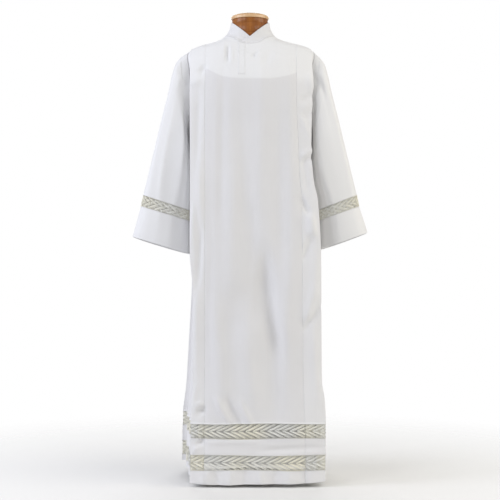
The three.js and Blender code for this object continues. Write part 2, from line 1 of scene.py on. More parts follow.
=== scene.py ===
"""A full-length alb with box pleats and lace insertions, hung on a limbless dress form.

The scene is in metres, +Z up, the front towards -Y. The tables of the cut are in millimetres.
"""
import math
from types import SimpleNamespace

import bpy
import numpy as np
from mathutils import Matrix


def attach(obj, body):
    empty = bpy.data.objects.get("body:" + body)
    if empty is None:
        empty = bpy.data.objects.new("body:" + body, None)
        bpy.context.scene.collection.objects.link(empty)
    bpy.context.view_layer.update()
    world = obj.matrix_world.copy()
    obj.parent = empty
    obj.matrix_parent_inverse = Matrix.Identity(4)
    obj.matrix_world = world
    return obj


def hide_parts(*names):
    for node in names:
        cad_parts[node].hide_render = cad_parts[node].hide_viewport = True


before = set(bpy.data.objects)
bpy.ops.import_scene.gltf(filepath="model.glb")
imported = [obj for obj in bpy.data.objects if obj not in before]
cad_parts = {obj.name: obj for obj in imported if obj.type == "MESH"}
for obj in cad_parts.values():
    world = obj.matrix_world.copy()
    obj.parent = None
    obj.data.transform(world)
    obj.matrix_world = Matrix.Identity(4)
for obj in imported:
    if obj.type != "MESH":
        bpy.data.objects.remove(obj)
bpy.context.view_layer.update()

MM = 0.001

# ---------- The cut, in millimetres ----------

CLOTH_WALL = 0.22
SEAM_GAP = 0.3
PLEAT_STEP = 0.3  # from one layer of a pressed pleat to the next
PLEAT_MIDDLE_GAP = 1.5
LAST_FLAT = 146  # the plain middle of a panel ends here, short of its pleat
NECK_TOP = 1519
NECK_HALF = 86
CHEST_LINE = 1390
ARMHOLE = SimpleNamespace(middle=1323, half_height=144, half_depth=75, foot=1225, below=1120)
YOKE_ROWS, CHEST_ROWS, ARMHOLE_ROWS, SKIRT_ROWS = 34, 18, 13, 96
SIDE_LINE = 0.62  # depth share of the line where the front ends and the side begins
SIDE_LINE_RUN = 200  # the height below the armhole in which the side reaches that line
HEM_RISE = {-1: (4, 24), 1: (11, 12)}  # the hem's lift at the front and back corner of each hand
BAND_WAVE = SimpleNamespace(height=1.6, length=190)
LEVELS = SimpleNamespace(upper_lace=209, spacer=161, lower_lace=105, hem=57, foot=10)


def rows(names, *values):
    """A table with named columns."""
    return dict(zip(names.split(), np.array(values, float).T))


BODY = rows(
    "height left right front back square",
    (1519, 86, 86, 60, 74, 2.2),
    (1508, 100, 102, 65, 83, 2.2),
    (1500, 118, 124, 69, 90, 2.2),
    (1494, 138, 147, 72, 94, 2.25),
    (1487, 163, 174, 76, 98, 2.3),
    (1480, 184, 196, 80, 101, 2.3),
    (1472, 200, 210, 85, 105, 2.35),
    (1463, 211, 220, 90, 108, 2.35),
    (1452, 219, 226, 97, 112, 2.4),
    (1435, 224, 229, 105, 116, 2.5),
    (1400, 222, 226, 117, 122, 2.7),
    (1356, 217, 220, 127, 125, 3),
    (1300, 212, 214, 128, 126, 3.3),
    (1225, 206, 207, 127, 124, 3.6),
    (1135, 200, 202, 128, 122, 4.2),
    (1020, 197, 209, 131, 124, 5),
    (950, 197, 223, 134, 127, 5.4),
    (785, 197, 232, 142, 138, 6),
    (650, 187, 234, 149, 148, 6),
    (500, 185, 234, 155, 156, 6),
    (350, 185, 235, 160, 163, 6),
    (290, 186, 243, 163, 166, 6),
    (209, 192, 248, 166, 169, 6),
    (10, 195, 246, 175, 175, 6),
)
BACK_SPREAD = rows(
    "height left right",
    (1225, 0, 0), (785, 9, -8), (500, 27, -2), (350, 36, -1), (209, 44, 0), (10, 46, 3),
)
PLEATS = rows(
    "height innerleft outerleft innerright outerright flare",
    (1519, 152, 200, 157, 208, 1),
    (1480, 152, 200, 157, 208, 1),
    (1470, 152, 200, 157, 208, 1.02),
    (1455, 152, 201, 157, 209, 1.05),
    (1412, 152, 202, 157, 210, 1.1),
    (1300, 152, 202, 157, 209, 1.15),
    (1135, 152, 201, 163, 205, 1.2),
    (1020, 152, 200, 168, 213, 1.2),
    (950, 152, 200, 175, 227, 1.2),
    (785, 152, 200, 175, 236, 1.2),
    (650, 152, 190, 176, 237, 1.2),
    (500, 151, 188, 177, 237, 1.2),
    (350, 151, 188, 178, 238, 1.2),
    (290, 151, 189, 180, 247, 1.2),
    (209, 151, 195, 182, 251, 1.2),
    (10, 150, 198, 184, 249, 1.2),
)
SIDE_FOLDS = {
    -1: ((-0.62, 0.16, -20), (-0.06, 0.15, -16), (0.52, 0.16, -16)),  # place, width, depth
    1: ((-0.6, 0.16, -16), (0.04, 0.16, -20), (0.62, 0.15, -13)),
}
FOLD_START, FOLD_FULL = 1080, 480
NECKLINE = rows("across height", (0, 1481), (30, 1488), (60, 1508), (78, 1515), (NECK_HALF, NECK_TOP))

SLEEVE_START = 0.4
RING_SQUARE, SLEEVE_SQUARE = 2.3, 4.6
SLEEVE = rows(
    "ring outer outerheight innerleft innerright innerheight left right",
    (1, 238, 1447, 208, 209, 1166, 82, 82),
    (2, 254, 1424, 207, 209, 1150, 86, 86),
    (3, 266, 1384, 206, 209, 1124, 88, 88),
    (4, 279, 1322, 205, 210, 1088, 87, 88),
    (5, 301, 1236, 205, 213, 1045, 83, 86),
    (6, 326, 1134, 205, 218, 1000, 76, 82),
    (7, 348, 1046, 205, 227, 957, 70, 78),
    (8, 367, 972, 206, 230, 919, 65, 75),
    (9, 375, 937, 206, 232, 885, 63, 74),
    (10, 404, 831, 207, 238, 772, 58, 71),
)
LACE_RING, CUFF_RING, CUFF_FOOT_RING = 8, 9, 10
CUFF_LIFT = {-1: 0, 1: 14}
CUFF_BACK_DROP = 6
SLEEVE_FOLDS = {
    -1: ((68, 24, 4), (118, 15, 4), (250, 20, 9)),  # degrees round the ring, width, depth
    1: ((74, 22, 3), (128, 17, 4), (262, 20, 9)),
}
COLLAR = SimpleNamespace(
    base_across=84, base_front=74, base_back=72, top_radius=66.9, lift=1.6,
    front_top=1510, side_top=1566, end_slant=24, under_end=26, lap=2.4, turned=0.16,
    flare_power=1.8, stand_off=0.5,
)
PLACKET = SimpleNamespace(left=-39, foot=1373, above=0.3)
TORSO = rows(
    "height half front back square",
    (1505, 78, 60, 62, 2.2), (1499, 100, 62, 76, 2.2), (1492, 130, 65, 84, 2.2),
    (1484, 158, 69, 89, 2.2), (1474, 182, 75, 94, 2.3), (1462, 195, 82, 99, 2.3),
    (1440, 199, 93, 106, 2.4), (1400, 192, 107, 113, 2.5), (1350, 183, 117, 116, 2.6),
    (1290, 176, 118, 116, 2.6), (1190, 165, 113, 110, 2.5), (1080, 150, 104, 101, 2.4),
    (960, 162, 108, 110, 2.4), (860, 170, 114, 118, 2.4), (810, 168, 113, 116, 2.4),
    (796, 158, 104, 107, 2.4),
)

# ---------- Creases, placed one by one -------
# Each is a soft trough (depth below 0) or ridge: its middle, half its length, its width, its depth,
# how far its top leans to the right in degrees, and how far its ends bend sideways.

CREASE_COLUMNS = "across height length width depth lean bend"
FRONT_CREASES = rows(
    CREASE_COLUMNS,
    (62, 600, 165, 26, -25, -7, 6),
    (27, 620, 80, 20, -7.5, 4, 0),
    (84, 350, 140, 40, -8.7, -3, 0),
    (-136, 545, 190, 13, -3, 0, 3),
    (-60, 565, 95, 40, -6.3, 8, 0),
    (-4, 400, 140, 30, 7.5, -4, 5),
    (120, 520, 260, 26, 7, 2, 6),
    (-100, 420, 170, 24, 5.8, -3, -4),
    (-92, 253, 46, 10, 7.5, -30, 2),
    (-54, 246, 50, 11, -8.7, -31, 3),
    (-14, 242, 44, 10, 7, -28, 2),
    (-95, 1130, 260, 17, -4.6, 1, 3),
    (-20, 1040, 230, 26, -3.6, -2, 0),
    (36, 1120, 300, 22, 3.6, 1, -5),
    (98, 990, 320, 24, -5.5, -1, 5),
    (139, 1090, 290, 14, 2, 0, -3),
    (-132, 980, 330, 12, -2, 0, 2),
    (-60, 850, 240, 26, 5.3, 2, 4),
    (8, 760, 170, 24, -6.3, 3, -4),
    (-75, 1446, 30, 5, -6.9, 0, 1),
    (-64, 1444, 34, 6, 3.4, 0, 1),
    (-88, 1470, 26, 6, 2.7, 6, 1),
    (16, 1443, 14, 4, -5.9, 35, 1),
    (24, 1448, 14, 4, 2.7, 35, 1),
    (60, 1432, 30, 14, -2.7, 25, 2),
    (205, 1348, 30, 14, 9.4, -10, 3),
    (190, 1297, 20, 6, -7.4, 72, 2),
    (192, 1270, 22, 8, 4.7, 64, 2),
    (193, 1238, 18, 6, -7.1, 80, -2),
    (186, 1195, 40, 9, 4.7, -20, 2),
    (190, 1112, 26, 8, 9.4, 58, 3),
    (194, 1088, 26, 7, -8, 55, 3),
    (188, 1030, 60, 9, -4.3, -6, 2),
    (184, 930, 34, 8, -8.4, -30, 3),
    (205, 868, 42, 12, 12.3, -8, 3),
    (196, 800, 50, 10, -6.4, 22, 2),
    (216, 700, 80, 14, 5.9, 3, 4),
    (209, 562, 50, 8, -7.4, 36, 2),
    (200, 604, 60, 14, 7.1, 12, 2),
    (214, 410, 120, 14, 6.4, -3, 4),
    (-160, 1392, 15, 9, -8.2, 30, 0),
    (-184, 1345, 16, 8, 6.9, 60, 0),
    (-177, 1180, 130, 12, -6.9, 1, 2),
    (-168, 1000, 120, 12, 5.4, -2, 2),
    (-190, 872, 70, 8, 8.9, 2, 1),
    (-172, 740, 110, 11, -8.7, 3, -2),
    (-178, 520, 150, 10, 7.9, 0, 2),
    (-164, 252, 15, 7, -13.8, 60, 1),
    (-172, 268, 16, 7, 10.4, 55, 1),
    (-183, 300, 40, 8, 6.9, 10, 1),
    (-166, 146, 15, 8, -11.7, 45, 1),
    (-176, 128, 16, 8, 8.2, 40, 1),
    (150, 128, 110, 9, -4.6, 88, 2),
    (-60, 150, 90, 9, 3.2, 90, 2),
    (-148, 34, 30, 16, 5.8, 12, 0),
    (-110, 30, 30, 14, -5.8, -6, 0),
    (-66, 34, 34, 15, 5.3, 4, 0),
    (-16, 30, 34, 18, -6.3, 0, 0),
    (34, 34, 30, 14, 6.3, -8, 0),
    (82, 30, 34, 16, -5.8, 6, 0),
    (130, 34, 30, 16, 5.3, 0, 0),
    (176, 32, 34, 13, -5.9, -4, 0),
)
BACK_CREASES = rows(
    CREASE_COLUMNS,
    (-54, 640, 210, 24, -7.5, 5, 6),
    (30, 560, 260, 26, -5.1, -3, 5),
    (96, 420, 190, 30, 4.8, 2, -5),
    (-110, 430, 210, 26, 4.5, -4, 4),
    (132, 760, 230, 14, -4.5, 1, 3),
    (-134, 900, 300, 13, -3.9, 0, -3),
    (0, 980, 260, 26, 3.6, 1, 6),
    (62, 1080, 240, 20, -3.6, -2, 4),
    (-66, 1130, 230, 20, -3, 3, 3),
    (0, 1300, 90, 40, -2.7, 0, 0),
    (-48, 1446, 50, 10, -2.7, 30, 2),
    (48, 1446, 50, 10, -2.4, -30, 2),
    (110, 1420, 60, 14, 2.4, -42, 3),
    (-112, 1420, 60, 14, 2.7, 42, 3),
    (176, 1130, 90, 12, 3.3, 4, 3),
    (-178, 1010, 120, 12, -3.6, -3, 3),
    (182, 800, 90, 12, -3.9, 8, 3),
    (-180, 620, 130, 12, 3.3, 0, 2),
    (20, 260, 60, 14, 3.9, 28, 2),
    (56, 250, 60, 13, -4.5, 26, 2),
    (-150, 34, 30, 16, -3, 8, 0),
    (-80, 32, 34, 16, 3, 0, 0),
    (-10, 30, 34, 18, -3.3, 4, 0),
    (60, 34, 30, 15, 3, -6, 0),
    (128, 32, 34, 15, -3, 0, 0),
)
# On the skirt's and bodice's sides the first column is the depth, with the front below 0.
SIDE_CREASES = {
    -1: rows(
        CREASE_COLUMNS,
        (-30, 820, 180, 12, -3.0, 3, 3),
        (24, 700, 220, 13, 3.0, -2, 4),
        (66, 520, 240, 13, -3.4, 2, 3),
        (-74, 440, 200, 11, 3.0, 0, 3),
        (-8, 1110, 50, 9, -2.6, 24, 2),
        (10, 1080, 60, 9, 2.0, -18, 2),
    ),
    1: rows(
        CREASE_COLUMNS,
        (-40, 760, 200, 12, 3.0, -3, 3),
        (14, 880, 190, 12, -3.2, 2, 4),
        (58, 600, 240, 13, 2.8, 0, 3),
        (-84, 480, 220, 12, -3.0, -2, 3),
        (96, 420, 180, 12, 2.6, 3, 2),
        (-6, 1112, 50, 9, -2.6, -22, 2),
        (14, 1084, 60, 9, 2.0, 16, 2),
    ),
}
# Round a sleeve the first column is in degrees from its outer edge over the front, and the second
# is the share of the way from the armhole to the cuff's foot, in hundredths.
SLEEVE_CREASES = {
    -1: rows(
        CREASE_COLUMNS,
        (44, 62, 34, 9, 1.2, 8, 2),
        (84, 50, 40, 8, 3.2, -6, 3),
        (88, 40, 60, 9, -3.4, 5, 2),
        (142, 42, 44, 9, -2.4, 4, 3),
        (158, 60, 36, 7, 2.4, 0, 2),
        (102, 14, 16, 8, -2.6, 20, 3),
        (70, 12, 12, 6, 1.8, -18, 2),
        (28, 34, 26, 8, -1.6, 10, 2),
        (206, 50, 40, 10, -3.0, 6, 3),
        (232, 40, 34, 9, 2.8, -6, 3),
        (282, 60, 34, 10, -3.2, 8, 3),
        (318, 46, 40, 11, 2.4, -8, 3),
        (300, 16, 14, 8, -2.2, 20, 2),
    ),
    1: rows(
        CREASE_COLUMNS,
        (50, 66, 30, 9, 1.2, -6, 2),
        (92, 46, 42, 8, 3.0, 8, 3),
        (76, 18, 16, 6, -3.2, 6, 1),
        (60, 16, 14, 6, 1.8, 8, 1),
        (106, 80, 18, 6, -2.6, -4, 1),
        (148, 50, 42, 9, -4.0, -4, 3),
        (30, 36, 28, 8, -1.4, -8, 2),
        (124, 14, 14, 8, 2.0, -16, 2),
        (208, 46, 40, 10, -3.0, -6, 3),
        (236, 56, 34, 9, 2.6, 6, 3),
        (286, 44, 34, 10, -3.0, -8, 3),
        (322, 58, 40, 11, 2.4, 8, 3),
    ),
}
# Round the collar the first column is in degrees from the front towards the right.
COLLAR_CREASES = rows(
    CREASE_COLUMNS,
    (-16, 1500, 12, 5, -1.4, 30, 0),
    (-34, 1522, 26, 7, 1.0, -12, 0),
    (30, 1512, 22, 7, -0.9, 16, 0),
    (64, 1536, 26, 9, 0.9, 0, 0),
    (-72, 1534, 26, 9, -0.9, 6, 0),
    (150, 1540, 24, 12, -0.9, 8, 0),
    (-150, 1540, 24, 12, 0.8, -6, 0),
)
# The lower edge of the lighter tone across the chest: partly the second layer of cloth inside the chest,
# partly painted light for the top light on the chest, which slopes up above this line.
FACING_AND_PAINTED_LIGHT_LINE = rows(
    "across height",
    (-162, 1404), (-120, 1380), (-88, 1366), (-20, 1359), (60, 1359), (120, 1368), (160, 1382),
)
STRIP_FACING_AND_PAINTED_LIGHT_HEIGHT = 1352
BACK_FACING_AND_PAINTED_LIGHT_HEIGHT = 1392
FACING_AND_PAINTED_LIGHT_SOFTNESS, STRIP_FACING_AND_PAINTED_LIGHT_SOFTNESS = 6, 26
# Height of the lower edge given the lighter tone: partly the turned cloth, partly a painted highlight where
# the edge catches the light.
TURNED_EDGE_AND_PAINTED_HIGHLIGHT = 4
FORWARD_POWER = 1.5  # how soon a panel's creases give way to the side's where the cloth turns aside
PUFF = SimpleNamespace(top=1440, run=300, height=1.3, ripple=0.8, short=47, long=113)
EDGE_RIDGE = SimpleNamespace(height=7, rise=1.3)


# ---------- Reading the tables ----------

def read(table, column, value, key="height"):
    """A column's value at a key, eased through the rows so that no row shows as a kink."""
    order = np.argsort(table[key])
    keys, values = table[key][order], table[column][order]
    slopes = np.diff(values) / np.diff(keys)
    before, after = slopes[:-1], slopes[1:]
    same_way = before * after > 0
    total = np.where(same_way, before + after, 1)
    tangents = np.concatenate([slopes[:1], np.where(same_way, 2 * before * after / total, 0), slopes[-1:]])
    value = np.clip(value, keys[0], keys[-1])
    i = np.clip(np.searchsorted(keys, value, side="right") - 1, 0, len(keys) - 2)
    span = keys[i + 1] - keys[i]
    t = (value - keys[i]) / span
    return (
        values[i] * (2 * t**3 - 3 * t**2 + 1)
        + tangents[i] * span * (t**3 - 2 * t**2 + t)
        + values[i + 1] * (3 * t**2 - 2 * t**3)
        + tangents[i + 1] * span * (t**3 - t**2)
    )


def mix(a, b, t):
    return a + (b - a) * t


def smooth(t):
    c = np.clip(t, 0, 1)
    return c * c * (3 - 2 * c)


def word(hand):
    return "left" if hand < 0 else "right"


def creased(table, across, height):
    """How far the cloth stands out at a place, as the sum of the creases that pass it."""
    out = np.zeros(np.broadcast(across, height).shape)
    for x, z, length, width, depth, lean, bend in zip(*(table[c] for c in CREASE_COLUMNS.split())):
        turn = math.radians(lean)
        along = ((height - z) * math.cos(turn) + (across - x) * math.sin(turn)) / length
        beside = (across - x) * math.cos(turn) - (height - z) * math.sin(turn) - bend * along**2
        out += depth * np.exp(-((beside / width) ** 2) - along**4)
    return out


def folds_at(folds, place):
    """The sum of the folds that pass a place; each has a middle, a width and a depth."""
    return sum(depth * np.exp(-(((place - at) / width) ** 2)) for at, width, depth in folds)


# ---------- The body's surface ----------
# hand is -1 at the left and 1 at the right; face is -1 in front and 1 behind.

def corner_half(hand, height):
    return read(BODY, word(hand), height)


def depth_of(face, height):
    return read(BODY, "front" if face < 0 else "back", height)


def square_of(height):
    return read(BODY, "square", height)


def side_fold_depth(hand, place, height):
    opened = smooth((FOLD_START - height) / (FOLD_START - FOLD_FULL))
    return opened * folds_at(SIDE_FOLDS[hand], place)


def spread_at(hand, y, height):
    """How much wider the body is at a depth y than in front."""
    to_back = (y + depth_of(-1, height)) / (depth_of(-1, height) + depth_of(1, height))
    return to_back * read(BACK_SPREAD, word(hand), height)


def body_point(hand, face, across, deep, height):
    y = face * deep * depth_of(face, height)
    fold = across**8 * side_fold_depth(hand, face * deep, height)
    x = hand * (across * (corner_half(hand, height) + spread_at(hand, y, height)) + fold)
    return np.stack(np.broadcast_arrays(x, y, height), -1)


def other_share(share, square):
    return np.maximum(0, 1 - np.minimum(1, share) ** square) ** (1 / square)


def point_across(hand, face, x, height, flare=None):
    """The point at a distance x from the middle, on the body or on a section wider by flare."""
    half = corner_half(hand, height)
    if flare is None:
        deep = other_share(x / half, square_of(height))
        return body_point(hand, face, np.minimum(1, x / half), deep, height)
    y = face * other_share(x / (half * flare), square_of(height)) * depth_of(face, height)
    return np.stack(np.broadcast_arrays(hand * x * (1 + spread_at(hand, y, height) / half), y, height), -1)


def outward(hand, face, point, flare=1.0):
    """The direction straight out of the section that passes through a point."""
    x, y, height = np.abs(point[..., 0]), np.abs(point[..., 1]), point[..., 2]
    square = square_of(height)
    step = 2

    def fill(at):
        return (x / (corner_half(hand, at) * flare)) ** square + (y / depth_of(face, at)) ** square

    half, depth = corner_half(hand, height) * flare, depth_of(face, height)
    direction = np.stack(
        [
            hand * square * (x / half) ** (square - 1) / half,
            face * square * (y / depth) ** (square - 1) / depth,
            (fill(height + step) - fill(height - step)) / (2 * step),
        ],
        -1,
    )
    return direction / np.maximum(1e-9, np.linalg.norm(direction, axis=-1, keepdims=True))


def lifted(hand, face, point, distance, flare=1.0):
    return point + outward(hand, face, point, flare) * distance


def shoulder_height(hand, x):
    low, high = 1455.0, float(NECK_TOP)
    for _ in range(40):
        middle = (low + high) / 2
        if corner_half(hand, middle) > x:
            low = middle
        else:
            high = middle
    return high


ARMHOLE_TOP = ARMHOLE.middle + ARMHOLE.half_height


def armhole_depth(height):
    share = (height - ARMHOLE.middle) / ARMHOLE.half_height
    return ARMHOLE.half_depth * np.sqrt(np.maximum(0, 1 - share**2))


ARMHOLE_FOOT_DEPTH = armhole_depth(ARMHOLE.foot)


def edge_share(face, height):
    """Depth share of the line that ends the front: the armhole's edge, then the side line below it."""
    on_armhole = armhole_depth(height) / depth_of(face, height)
    start = ARMHOLE_FOOT_DEPTH / depth_of(face, ARMHOLE.foot)
    below = mix(start, SIDE_LINE, smooth((ARMHOLE.foot - height) / SIDE_LINE_RUN))
    return np.where(height >= ARMHOLE_TOP, 0, np.where(height >= ARMHOLE.foot, on_armhole, below))


def edge_across(hand, face, height):
    at_edge = corner_half(hand, height) * other_share(edge_share(face, height), square_of(height))
    return np.where(height >= ARMHOLE_TOP, corner_half(hand, ARMHOLE_TOP), at_edge)


# ---------- A panel's columns ----------

def panel_columns(hand, face):
    """Columns from the middle out to the side: each has a top height and its points at heights below.

    strip is how much of the column belongs to the pleat's top layer, and puff is its share of the
    soft swell between the pleat's two edges. A column on the side starts below the armhole.
    """
    def inner(height):
        return read(PLEATS, "inner" + word(hand), height)

    def outer(height):
        return read(PLEATS, "outer" + word(hand), height)

    def flare(height):
        return read(PLEATS, "flare", height)

    def middle(height):
        return (inner(height) + outer(height)) / 2

    def top_at(x):
        if x > NECK_HALF:
            return shoulder_height(hand, x)
        return float(read(NECKLINE, "height", x, "across")) if face < 0 else float(NECK_TOP)

    def column(at, top, strip=0.0, side=False, foot_depth=0.0, puff=0.0):
        return SimpleNamespace(
            hand=hand, at=at, top=top, strip=strip, side=side, foot_depth=foot_depth, puff=puff,
        )

    def on_body(place, layer=0.0, strip=0.0):
        def at(height):
            point = point_across(hand, face, place(height), height)
            return lifted(hand, face, point, layer * PLEAT_STEP) if layer else point
        return column(at, top_at(float(place(np.array(float(NECK_TOP))))), strip)

    def on_strip(place, layer, strip=1.0, puff=0.0):
        def at(height):
            share = np.clip((place(height) - inner(height)) / (outer(height) - inner(height)), 0, 1)
            wider = 1 + (flare(height) - 1) * share
            point = point_across(hand, face, place(height), height, wider)
            return lifted(hand, face, point, layer * PLEAT_STEP, wider)
        return column(at, top_at(float(place(np.array(float(NECK_TOP))))), strip, puff=puff)

    def between(a, b, share):
        return column(lambda height: mix(a.at(height), b.at(height), share), mix(a.top, b.top, share))

    flat = [on_body(lambda height, x=x: x + 0 * height) for x in np.linspace(0, LAST_FLAT, 22)[1:]]
    under = [
        on_body(lambda height, s=s: mix(LAST_FLAT, middle(height) - PLEAT_MIDDLE_GAP, s))
        for s in (0.2, 0.45, 0.75, 1)
    ]
    tucked = [
        on_body(lambda height: middle(height) - PLEAT_MIDDLE_GAP, 1),
        on_body(lambda height: mix(middle(height) - PLEAT_MIDDLE_GAP, inner(height), 0.5), 1),
        on_body(lambda height: inner(height) + 1.2, 1),
        on_strip(lambda height: inner(height) - 0.3, 1.2),
        on_strip(lambda height: inner(height) - 0.55, 1.5),
        on_strip(lambda height: inner(height) - 0.3, 1.85),
    ]
    strip = [
        on_strip(lambda height, s=s: mix(inner(height), outer(height), s), 2, 1, math.sin(math.pi * s))
        for s in (0.03, 0.1, 0.2, 0.32, 0.44, 0.56, 0.68, 0.8, 0.9, 0.97)
    ]
    back_under = [
        on_strip(lambda height: outer(height) + 0.1, 1.85),
        on_strip(lambda height: outer(height) + 0.6, 1.5),
        on_strip(lambda height: outer(height) + 0.1, 1.15, 0.5),
        on_strip(lambda height: outer(height) - 1.2, 1, 0),
    ]
    join = on_body(lambda height: middle(height) + PLEAT_MIDDLE_GAP, 1)

    def toward_edge(height, share):
        return mix(middle(height) + PLEAT_MIDDLE_GAP, edge_across(hand, face, height), share)

    to_edge = [
        on_body(lambda height, s=s: toward_edge(height, s))
        for s in (0, 0.2, 0.4, 0.58, 0.75, 0.88, 1)
    ]

    def on_side(share):
        def at(height):
            deep = edge_share(face, height) * (1 - share)
            return body_point(hand, face, other_share(deep, square_of(height)), deep, height)
        return column(at, None, 0.0, True, ARMHOLE_FOOT_DEPTH * (1 - share))

    side = [on_side(s) for s in np.linspace(0, 1, 15)[1:]]
    return [
        *flat, *under, *tucked, *strip, *back_under,
        between(back_under[-1], join, 0.5), join, *to_edge, *side,
    ]


def full_panel(face):
    """All columns of a front or back, from its left to its right as its face is seen."""
    def middle_at(height):
        return point_across(1, face, 0 * height, height)

    top = float(NECKLINE["height"][0]) if face < 0 else float(NECK_TOP)
    centre = SimpleNamespace(hand=1, at=middle_at, top=top, strip=0.0, side=False, foot_depth=0.0, puff=0.0)
    start, end = (-1, 1) if face < 0 else (1, -1)
    return [*panel_columns(start, face)[::-1], centre, *panel_columns(end, face)]


PANELS = {face: full_panel(face) for face in (-1, 1)}


def edge_height(level, point):
    """An edge's height where it passes a point: it waves a little, and rises at the hem's corners."""
    x, y = point[..., 0], point[..., 1]
    hand_left = x < 0
    half = np.where(hand_left, corner_half(-1, level), corner_half(1, level))
    corner = np.minimum(1, np.abs(x) / half) ** 4
    to_back = smooth((y + depth_of(-1, level) * 0.8) / depth_of(-1, level))
    rise_front = np.where(hand_left, HEM_RISE[-1][0], HEM_RISE[1][0])
    rise_back = np.where(hand_left, HEM_RISE[-1][1], HEM_RISE[1][1])
    share = smooth((LEVELS.lower_lace - level) / (LEVELS.lower_lace - LEVELS.foot)) ** 4
    wave = BAND_WAVE.height * np.sin(x / (BAND_WAVE.length / math.pi) + level / 30)
    return level + wave + share * corner * mix(rise_front, rise_back, to_back)


def creased_points(face, columns, points):
    """Moves a panel's points out or in by the creases of its face and of its sides."""
    moved = points.copy()
    for j, column in enumerate(columns):
        point = points[:, j]
        out = outward(column.hand, face, point)
        forward = np.abs(out[:, 1]) ** FORWARD_POWER
        x, y, z = point[:, 0], point[:, 1], point[:, 2]
        table = FRONT_CREASES if face < 0 else BACK_CREASES
        beside = creased(SIDE_CREASES[column.hand], y, z)
        distance = forward * creased(table, x, z) + (1 - forward) * beside
        if column.puff:
            ripple = PUFF.ripple * np.sin(z / PUFF.short + column.hand) * np.sin(z / PUFF.long)
            swell = smooth((PUFF.top - z) / PUFF.run) * (PUFF.height + ripple)
            distance = distance + column.puff * swell
        moved[:, j] = point + out * distance[:, None]
    moved[..., 1] = face * np.maximum(face * moved[..., 1], SEAM_GAP / 2)
    return moved


def panel_grid(face):
    """The points of the front or back, from the shoulders to the upper lace, row by row."""
    columns = PANELS[face]
    grid = []
    for share in np.linspace(0, 1, YOKE_ROWS) ** 1.5:
        grid.append([None if c.side else (c, mix(c.top, CHEST_LINE, share)) for c in columns])
    for height in np.linspace(CHEST_LINE, ARMHOLE.foot, CHEST_ROWS)[1:-1]:
        grid.append([None if c.side else (c, height) for c in columns])
    for share in np.linspace(0, 1, ARMHOLE_ROWS):
        row = []
        for c in columns:
            drop = ARMHOLE.half_height * math.sqrt(1 - (c.foot_depth / ARMHOLE.half_depth) ** 2)
            start = ARMHOLE.middle - drop if c.side else ARMHOLE.foot
            row.append((c, mix(start, ARMHOLE.below, share)))
        grid.append(row)
    for height in np.linspace(ARMHOLE.below, LEVELS.upper_lace + 14, SKIRT_ROWS)[1:]:
        grid.append([(c, height) for c in columns])
    for above in (9, 6.4, 5.2, 4.2, 2, 0.6, SEAM_GAP / 2):
        grid.append([(c, ("edge", LEVELS.upper_lace, above)) for c in columns])
    points = np.full((len(grid), len(columns), 3), np.nan)
    for j, column in enumerate(columns):
        cells = [(i, row[j][1]) for i, row in enumerate(grid) if row[j] is not None]
        heights = np.array([place_height(column, h) for _, h in cells], float)
        points[[i for i, _ in cells], j] = column.at(heights)
        if column.side:
            start = cells[0][0]
            for n in range(ARMHOLE_ROWS):
                y = points[start + n, j, 1]
                points[start + n, j, 1] = mix(face * column.foot_depth, y, n / (ARMHOLE_ROWS - 1))
    return points


def place_height(column, place):
    if not isinstance(place, tuple):
        return float(place)
    _, level, above = place
    return float(edge_height(level, column.at(np.array([float(level)])))[0]) + above


def band_grid(face, top, foot, steps):
    """The points of a band of the skirt between two edges."""
    columns = PANELS[face]
    points = np.zeros((len(steps), len(columns), 3))
    for j, column in enumerate(columns):
        ends = [place_height(column, ("edge", level, 0)) for level in (top, foot)]
        points[:, j] = column.at(np.array([mix(ends[0], ends[1], s) for s in steps]))
    return points


# ---------- Meshes ----------

def new_object(name, points, faces, edges=()):
    mesh = bpy.data.meshes.new(name)
    mesh.from_pydata((np.asarray(points) * MM).tolist(), list(edges), [list(map(int, f)) for f in faces])
    mesh.polygons.foreach_set("use_smooth", [True] * len(mesh.polygons))
    obj = bpy.data.objects.new(name, mesh)
    bpy.context.scene.collection.objects.link(obj)
    return obj


def cumulative(line):
    """The distance along a line of points, from its first."""
    return np.concatenate([[0], np.cumsum(np.linalg.norm(np.diff(line, axis=0), axis=1))])


def sheet_object(name, grid, layers, around, closed=False, wall=CLOTH_WALL, facing=-9.0):
    """A thin cloth wall through a grid of points. Its map is the cloth's own, in metres."""
    count, wide = grid.shape[:2]
    present = ~np.isnan(grid[..., 0])
    index = np.where(present, np.cumsum(present).reshape(present.shape) - 1, -1)
    across = wide if closed else wide - 1
    i, j = np.meshgrid(np.arange(count - 1), np.arange(across), indexing="ij")
    after = (j + 1) % wide
    quads = np.stack([index[i, j], index[i + 1, j], index[i + 1, after], index[i, after]], -1).reshape(-1, 4)
    quads = quads[(quads >= 0).all(1)]
    points = grid[present]
    middle = np.broadcast_to(around, grid.shape)[present]
    corners = points[quads]
    normal = np.cross(corners[:, 2] - corners[:, 0], corners[:, 3] - corners[:, 1])
    away = corners.mean(1) - middle[quads].mean(1)
    if (normal * away).sum() < 0:
        quads = quads[:, ::-1]
    obj = new_object(name, points, quads)
    mesh = obj.data
    last_row, middle_column = grid[-1], grid[:, wide // 2]
    u = np.broadcast_to(cumulative(last_row) * MM, present.shape)[present]
    v = np.broadcast_to((cumulative(middle_column) * MM)[:, None], present.shape)[present]
    loops = np.zeros(len(mesh.loops), int)
    mesh.loops.foreach_get("vertex_index", loops)
    mesh.uv_layers.new(name="cut").data.foreach_set("uv", np.stack([u[loops], v[loops]], -1).ravel())
    # These values set where alb_cloth's lighter tone goes: partly where the cloth lies double, partly painted
    # light.
    for label, values in (("layers", layers), ("facing", facing)):
        spread = np.broadcast_to(values, present.shape)[present].astype(float)
        mesh.attributes.new(label, "FLOAT", "POINT").data.foreach_set("value", spread)
    solid = obj.modifiers.new("wall", "SOLIDIFY")
    solid.thickness = wall * MM
    solid.offset = 0
    return obj


# ---------- Node trees as Python expressions ----------

